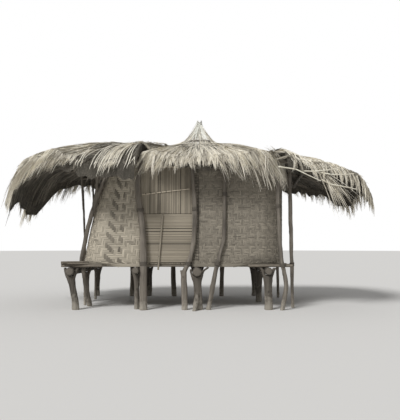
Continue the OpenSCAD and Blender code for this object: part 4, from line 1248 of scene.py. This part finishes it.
class GRANARY_OT_cap(bpy.types.Operator):
    """Thatches the peaked cap: its skirt, the locks round its rim and the bound spire"""

    bl_idname = "granary.thatch_cap"
    bl_label = "Thatch Cap"

    def execute(self, context):
        thatch = context.scene.granary_thatch
        draw = np.random.default_rng(SEEDS["cap"])
        straw, bed_painted_shade = thatch_materials(thatch)
        # the imported skirt is painted very dark, as the shade under and between the loose straws
        dress(("cap_skirt",), bed_painted_shade)
        bound = finish_round_wood("Bound_Straw", shade(thatch.bright, 1.1), (1.0, 1.0, 0.05))
        dress(("cap_spire",), bound)
        x, y, _ = spire_top()
        ridge = Ridge(x, x, y, 0.0)
        hill = Hill(CAP, 0.03)
        skirt = lay_straws(hill, ridge, thatch.straws_per_m2 * 1.4, thatch, draw,
                           lift=(0.002, 0.045), droop=0.012, bleached=0.15)
        locks, wisps = self.fringe(hill, ridge, thatch, draw)
        whole = Hill(CANOPY + CAP).bridged(9)
        across = lay_straws(whole, ridge, thatch.straws_per_m2 * 1.2, thatch, draw,
                            lift=(0.01, 0.05), longer=1.2, bleached=0.1,
                            cover=lambda plan: self.beside_gap(whole, plan, ridge))
        straw_piece("cap_straw", straw, skirt, locks, wisps, across)
        pale = finish_straw("Spire_Straw", shade(thatch.bright, 0.85), shade(thatch.bright, 1.3))
        straw_piece("spire_straw", pale, self.spire(thatch, draw))
        return {"FINISHED"}

    @staticmethod
    def fringe(hill, ridge, thatch, draw):
        """Locks round the cap's rim, longest at the front right, and long wisps that hang there."""
        rim = rim_of(hill, np.array((ridge.left, ridge.y)), thatch.lock_spacing * 0.9)
        ways = outward(rim, ridge)
        x, y = rim.T
        front = ramp(-y, 1.2, 0.5)
        right = ramp(x, 0.7, 0.7) * ramp(-y, 0.9, 0.3)
        left = ramp(-x, 0.1, 0.4) * ramp(-y, 1.1, 0.2)
        hang = draw.uniform(0.06, 0.12, len(rim))
        hang += front * draw.uniform(0.0, 0.16, len(rim)) ** 1.5 * 2
        hang += (0.60 * right + 0.34 * left) * draw.uniform(0.2, 1, len(rim))
        sweep = 0.95 * right - 0.8 * left + 0.1
        locks = hang_locks(hill, rim, ways, hang, thatch, draw, sweep, thatch.lock_straws)
        swept = np.flatnonzero((y < -0.9) & (x > 0.5))
        hang = draw.uniform(0.2, 0.45, len(swept)) + 0.35 * ramp(x[swept], 0.5, 0.8)
        wisps = hang_locks(hill, rim[swept], ways[swept], hang, thatch, draw, sweep=0.55, straws=6,
                           spread=0.07, inward=0.9)
        return locks, wisps

    @staticmethod
    def beside_gap(hill, plan, ridge):
        """Whether a straw from each plan point reaches over a gap between cap and canopy."""
        x, y = plan.T
        ways = outward(plan, ridge)
        over_gap = np.any([hill.nearest(hill.gaps, plan + ways * reach)
                           for reach in (0.0, 0.12, 0.24, 0.36)], axis=0)
        front, radius = np.where(x > 1.2, -1.7, -0.75), np.where(x > 1.2, 2.6, 1.9)
        near_cap = np.hypot(x - ridge.left, y - ridge.y) < radius
        return over_gap & near_cap & (y > front) & (y < 1.0)

    @staticmethod
    def spire(thatch, draw):
        """Straws laid close up the spire to its tip, over its own surface."""
        tree = search_tree("cap_spire")
        x, y, tip = spire_top()
        angles = np.repeat(np.arange(0, 2 * math.pi, 0.07), 6)
        angles = angles + draw.normal(0, 0.04, len(angles))
        lines = []
        for angle, foot in zip(angles, draw.uniform(*SPIRE_FEET, len(angles))):
            way = Vector((math.cos(angle), math.sin(angle), 0))
            line = []
            for share in (0, 0.15, 0.35, 0.6, 0.85):
                middle = Vector((x, y, foot + (tip - 0.012 - foot) * share))
                hit = tree.ray_cast(middle + way, -way, 1.2)[0] or middle
                line.append(hit + way * draw.uniform(0.002, 0.016) * (1 - 0.5 * share))
            tuft = 0.035 if way.x > 0.1 else -0.02
            line.append(Vector((x + tuft, y, tip)) + way * draw.uniform(0.005, 0.03)
                        + Vector((0, 0, draw.uniform(-0.06, 0.035))))
            lines.append(line)
        lines = np.array(lines)
        width = straw_widths(thatch, draw, len(lines), 0.7, 1.4, [0.5, 1, 1, 0.9, 0.7, 0.5])
        rolls = draw.normal(math.pi / 2, 0.4, len(lines))
        return straws_along(lines, width, rolls, draw.uniform(0.6, 1.0, len(lines)), 0.8)


def rounded(name, voxel):
    """A copy of a CAD node's mesh, made of even small faces and with its edges rounded."""
    rough = bpy.data.objects.new("rough_" + name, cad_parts[name].data.copy())
    bpy.context.scene.collection.objects.link(rough)
    remesh = rough.modifiers.new("Remesh", "REMESH")
    remesh.mode = "VOXEL"
    remesh.voxel_size = voxel
    ease = rough.modifiers.new("Smooth", "SMOOTH")
    ease.factor, ease.iterations = 0.5, 4
    made = rough.evaluated_get(bpy.context.evaluated_depsgraph_get())
    mesh = bpy.data.meshes.new_from_object(made)
    bpy.data.objects.remove(rough)
    return mesh


def carve(name, voxel, depth, along, seed):
    """A trunk made from a CAD node: rounded, ridged along its length, with a few knots."""
    mesh = rounded(name, voxel)
    count = len(mesh.vertices)
    points, normals = np.empty(count * 3, np.float32), np.empty(count * 3, np.float32)
    mesh.vertices.foreach_get("co", points)
    mesh.vertices.foreach_get("normal", normals)
    points, normals = points.reshape(-1, 3).astype(float), normals.reshape(-1, 3).astype(float)
    draw = np.random.default_rng(seed)

    lengthwise = np.arange(3) == along
    drawn = points * np.where(lengthwise, 0.09, 1.0)
    ridge = lattice_noise(drawn * 26, seed) + 0.6 * lattice_noise(drawn * 55, seed + 1)
    lumps = lattice_noise(points * np.where(lengthwise, 0.5, 1.0) * 9, seed + 2)
    knots = points[draw.integers(0, count, max(3, count // POINTS_PER_KNOT))]
    near = np.min([np.linalg.norm((points - knot) * [1, 1, 0.7], axis=1) for knot in knots], axis=0)
    swelling, heart = np.exp(-(near / KNOT_SWELLING) ** 2), np.exp(-(near / KNOT_HEART) ** 2)
    flat_end = np.zeros(count)
    if along == 1:
        flat_end = np.clip((np.abs(normals[:, along]) - 0.75) * 5, 0, 1)
    ridges = depth * (ridge + 0.9 * lumps) * (1 - 0.8 * flat_end)
    ridges += KNOT_RISE * swelling * (1 - flat_end)
    points += normals * ridges[:, None]
    points[:, 2] = np.maximum(points[:, 2], 0.0)
    mesh.vertices.foreach_set("co", points.astype(np.float32).ravel())
    keep_tones(mesh, np.column_stack([np.clip(0.5 + 0.45 * ridge, 0, 1), heart, flat_end]))
    mesh.polygons.foreach_set("use_smooth", np.full(len(mesh.polygons), True))
    mesh.update()
    return mesh


class GRANARY_OT_trunks(bpy.types.Operator):
    """Carves the forked posts, the tall trunks and the bearer logs from their CAD solids"""

    bl_idname = "granary.carve_trunks"
    bl_label = "Carve Trunks"

    def execute(self, context):
        wood = context.scene.granary_wood
        bark = finish_trunk("Bark_Wood", wood.bark, dust_reach=0.30)
        bleached = finish_trunk("Bleached_Wood", wood.bleached, dust_reach=0.22)
        log = finish_trunk("Log_Wood", shade(wood.bark, 0.9), dust_reach=0.01)
        jobs = [(name, 0.011 if "post_" in name else 0.015, 2, bark, "bark_wood")
                for name in FORKED_POSTS]
        jobs += [(name, 0.012, 2, bleached, "weathered_wood") for name in TALL_POSTS]
        jobs.append(("bearer_logs", 0.018, 1, log, "bark_wood"))
        for k, (name, voxel, along, material, slot) in enumerate(jobs):
            mesh = carve(name, voxel, wood.grain_depth, along, SEEDS["trunks"] + k * 7)
            mesh.materials.clear()
            mesh.materials.append(material)
            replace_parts(add_piece("carved_" + name, mesh), name)
        return {"FINISHED"}


def front_hit(tree, x, z):
    """Where a level line from the front first meets the tree, or None."""
    return tree.ray_cast(Vector((x, -IN_FRONT, z)), Vector((0, 1, 0)), IN_FRONT)[0]


def first_hit(tree, spots):
    """The first hit from the front at these (x, z), or None."""
    return next((hit for x, z in spots if (hit := front_hit(tree, x, z)) is not None), None)


def trunk_at(name, x_low, x_high, z):
    """Middle and radius of a standing trunk at height z, seen from the front."""
    tree = search_tree(name)
    hits = [hit for x in np.arange(x_low, x_high, 0.004)
            if (hit := front_hit(tree, x, z)) is not None]
    if not hits:
        raise ValueError(f"{name} has no trunk at height {z}")
    radius = (hits[-1].x - hits[0].x) / 2 + 0.002
    return Vector(((hits[0].x + hits[-1].x) / 2, min(hit.y for hit in hits) + radius, z)), radius


def coil(centre, axis, radius, width, turns, draw, steps=60):
    """A cord wound round an axis: its points, a little uneven."""
    axis = Vector(axis).normalized()
    first = axis.orthogonal().normalized()
    second = axis.cross(first)
    line = []
    for share in np.linspace(0, 1, steps):
        angle = share * turns * 2 * math.pi
        along = (share - 0.5) * width + draw.normal(0, width * 0.02)
        out = first * math.cos(angle) + second * math.sin(angle)
        line.append(centre + axis * along + out * radius)
    return line


def cords_piece(name, lines, radius, material, sides=6, taper=1.0):
    """Cords or sticks of one radius, thinning to taper at their far ends, as one piece."""
    lines = np.array(lines)
    radii = np.broadcast_to(radius * np.linspace(1, taper, lines.shape[1]), lines.shape[:2])
    points, quads = tubes(lines, radii, sides)
    mesh_piece(name, points, quads, material)


class GRANARY_OT_lashings(bpy.types.Operator):
    """Winds bark cord round the posts, the laths and the spire, and laces the right mat's edge"""

    bl_idname = "granary.wind_lashings"
    bl_label = "Wind Lashings"

    def execute(self, context):
        draw = np.random.default_rng(SEEDS["cords"])
        bark = context.scene.granary_wood.bark
        cord = finish_round_wood("Bark_Cord", shade(bark, 1.5), (1.0, 1.0, 1.0))
        for name, radius, lines in (("post_lashings", 0.008, self.post_lashings(draw)),
                                    ("panel_ties", 0.0035, self.panel_ties(draw)),
                                    ("mat_lacing", 0.006, self.edge_lacing(draw)),
                                    ("spire_binding", 0.009, self.spire_rings())):
            cords_piece(name, lines, radius, cord)
        return {"FINISHED"}

    @staticmethod
    def post_lashings(draw):
        """Wide windings where the tall trunks are tied to the wall and to the platform's edge."""
        lines = []
        for name, (x_low, x_high, heights) in LASHED.items():
            for z in heights:
                middle, radius = trunk_at(name, x_low, x_high, z)
                lines.append(coil(middle, (0.02, 0.02, 1), radius + 0.007, width=0.075, turns=5,
                                  draw=draw))
        return lines

    @staticmethod
    def panel_ties(draw):
        """Small ties along the level lath and then along the upright one, which hold the reeds."""
        tree = search_tree("panel_laths")
        lines = []

        def tie(spots, to_middle, axis, width):
            hit = first_hit(tree, spots)
            if hit is not None:
                wound = coil(hit + Vector(to_middle), axis, radius=0.0145, width=width, turns=3,
                             draw=draw, steps=30)
                lines.append(evened(wound, 30))

        for x in np.arange(-0.88, 0.0, 0.105):
            upwards = [(x, z) for z in np.arange(2.30, 2.46, 0.006)]
            tie(upwards, (0, 0.012, 0.010), (1, 0, 0.1), 0.016)
        for z in np.arange(0.95, 1.95, 0.13):
            rightwards = [(x, z) for x in np.arange(-0.66, -0.50, 0.006)]
            tie(rightwards, (0.010, 0.012, 0), (0, 0, 1), 0.018)
        return lines

    @staticmethod
    def edge_lacing(draw):
        """Short cords that lace the right mat's edge to the post, like the rungs of a ladder."""
        tree = search_tree("mat_front_right")
        into_wall = Vector((0, 0.02, 0))
        lines = []
        for z in np.arange(1.02, 2.98, 0.062):
            hits = [front_hit(tree, x + draw.normal(0, 0.006), z + draw.normal(0, 0.006))
                    for x in (0.115, 0.215)]
            if None not in hits:
                left, right = [hit + Vector((0, -0.012, 0)) for hit in hits]
                middle = (left + right) / 2 + Vector((0, -0.008, 0))
                lines.append(evened([left + into_wall, left, middle, right, right + into_wall], 12))
        for x in (0.118, 0.212):
            marks = [hit + Vector((0, -0.010, 0)) for z in np.arange(0.98, 2.98, 0.05)
                     if (hit := front_hit(tree, x, z)) is not None]
            lines += [evened(marks[k:k + 6], 12) for k in range(0, len(marks) - 5, 5)]
        return lines

    @staticmethod
    def spire_rings():
        """Cord wound round the foot of the spire."""
        tree = search_tree("cap_spire", "cap_skirt")
        top_x, top_y, _ = spire_top()
        lines = []
        for z in RING_HEIGHTS:
            line = []
            for angle in np.linspace(0, 2 * math.pi, 73):
                way = Vector((math.cos(angle), math.sin(angle), 0))
                start = Vector((top_x, top_y, z + 0.008 * math.sin(angle + z * 40))) + way * 1.2
                hit = tree.ray_cast(start, -way, 1.2)[0]
                line.append((hit if hit is not None else start - way * 1.1) + way * 0.012)
            lines.append(line)
        return lines


class GRANARY_OT_sticks(bpy.types.Operator):
    """Adds the loose sticks and the bundle of straw that stand out of the right canopy"""

    bl_idname = "granary.add_sticks"
    bl_label = "Add Roof Sticks"

    def execute(self, context):
        reed = context.scene.granary_wood.reed
        light = finish_round_wood("Light_Stick", shade(reed, 2.3), (0.1, 0.5, 1.0))
        lines = [evened(line, 14) for line in ROOF_STICKS]
        cords_piece("roof_sticks", lines, 0.015, light, sides=8, taper=0.6)
        self.hang_bundle(context.scene.granary_thatch)
        return {"FINISHED"}

    @staticmethod
    def hang_bundle(thatch):
        """A loose handful of straw that slips out of the eave and fans out down to the right."""
        draw = np.random.default_rng(SEEDS["bundle"])
        count = 90
        fan = draw.uniform(0, 1, (count, 1))
        t = np.linspace(0, 1, 7)
        reach = draw.uniform(0.45, 1.0, (count, 1))
        x = 2.62 + draw.normal(0, 0.03, (count, 1)) + 0.72 * t * reach * (0.45 + 0.55 * fan)
        y = -1.90 - 0.22 * np.sin(t * math.pi / 2) + draw.normal(0, 0.02, (count, 1)) * (1 + t)
        z = 2.74 - 0.18 * t - (0.80 - 0.42 * fan) * t ** 1.4 * reach
        z = z + draw.normal(0, 0.012, (count, 1))
        taper = np.interp(t, [0, 0.2, 0.7, 1], [0.6, 1, 1, 0.3])
        width = straw_widths(thatch, draw, count, 0.5, 1.2, taper)
        rolls = draw.uniform(-1.2, 1.2, count)
        straw, _ = thatch_materials(thatch)
        straw_piece("hanging_bundle", straw, straws_along(
            np.stack([x, y, z], axis=-1), width, rolls, draw.uniform(0.1, 0.9, count), 0.2))


SETTINGS = {"granary_mats": GranaryMatSettings, "granary_thatch": GranaryThatchSettings,
            "granary_wood": GranaryWoodSettings, "granary_stage": GranaryStageSettings}
OPERATORS = (GRANARY_OT_stage, GRANARY_OT_poles, GRANARY_OT_mats, GRANARY_OT_canopy, GRANARY_OT_cap,
             GRANARY_OT_trunks, GRANARY_OT_lashings, GRANARY_OT_sticks)


class GRANARY_PT_looks(bpy.types.Panel):
    """Lists the steps that dress the granary, with their settings"""

    bl_idname = "GRANARY_PT_looks"
    bl_label = "Granary"
    bl_space_type = "VIEW_3D"
    bl_region_type = "UI"
    bl_category = "Granary"

    def draw(self, context):
        for operator in OPERATORS:
            self.layout.operator(operator.bl_idname)
        for name, kind in SETTINGS.items():
            box = self.layout.box()
            for setting in kind.__annotations__:
                box.prop(getattr(context.scene, name), setting)


def register():
    """Adds the settings, the operators and the panel."""
    for kind in (*SETTINGS.values(), *OPERATORS, GRANARY_PT_looks):
        bpy.utils.register_class(kind)
    for name, kind in SETTINGS.items():
        setattr(bpy.types.Scene, name, PointerProperty(type=kind))


def unregister():
    """Takes them away again."""
    for name in SETTINGS:
        delattr(bpy.types.Scene, name)
    for kind in reversed((*SETTINGS.values(), *OPERATORS, GRANARY_PT_looks)):
        bpy.utils.unregister_class(kind)


def main():
    """Dresses the whole granary."""
    register()
    make_fibre_group()
    make_dust_group()
    for operator in OPERATORS:
        group, name = operator.bl_idname.split(".")
        getattr(getattr(bpy.ops, group), name)()


if __name__ == "__main__":
    main()
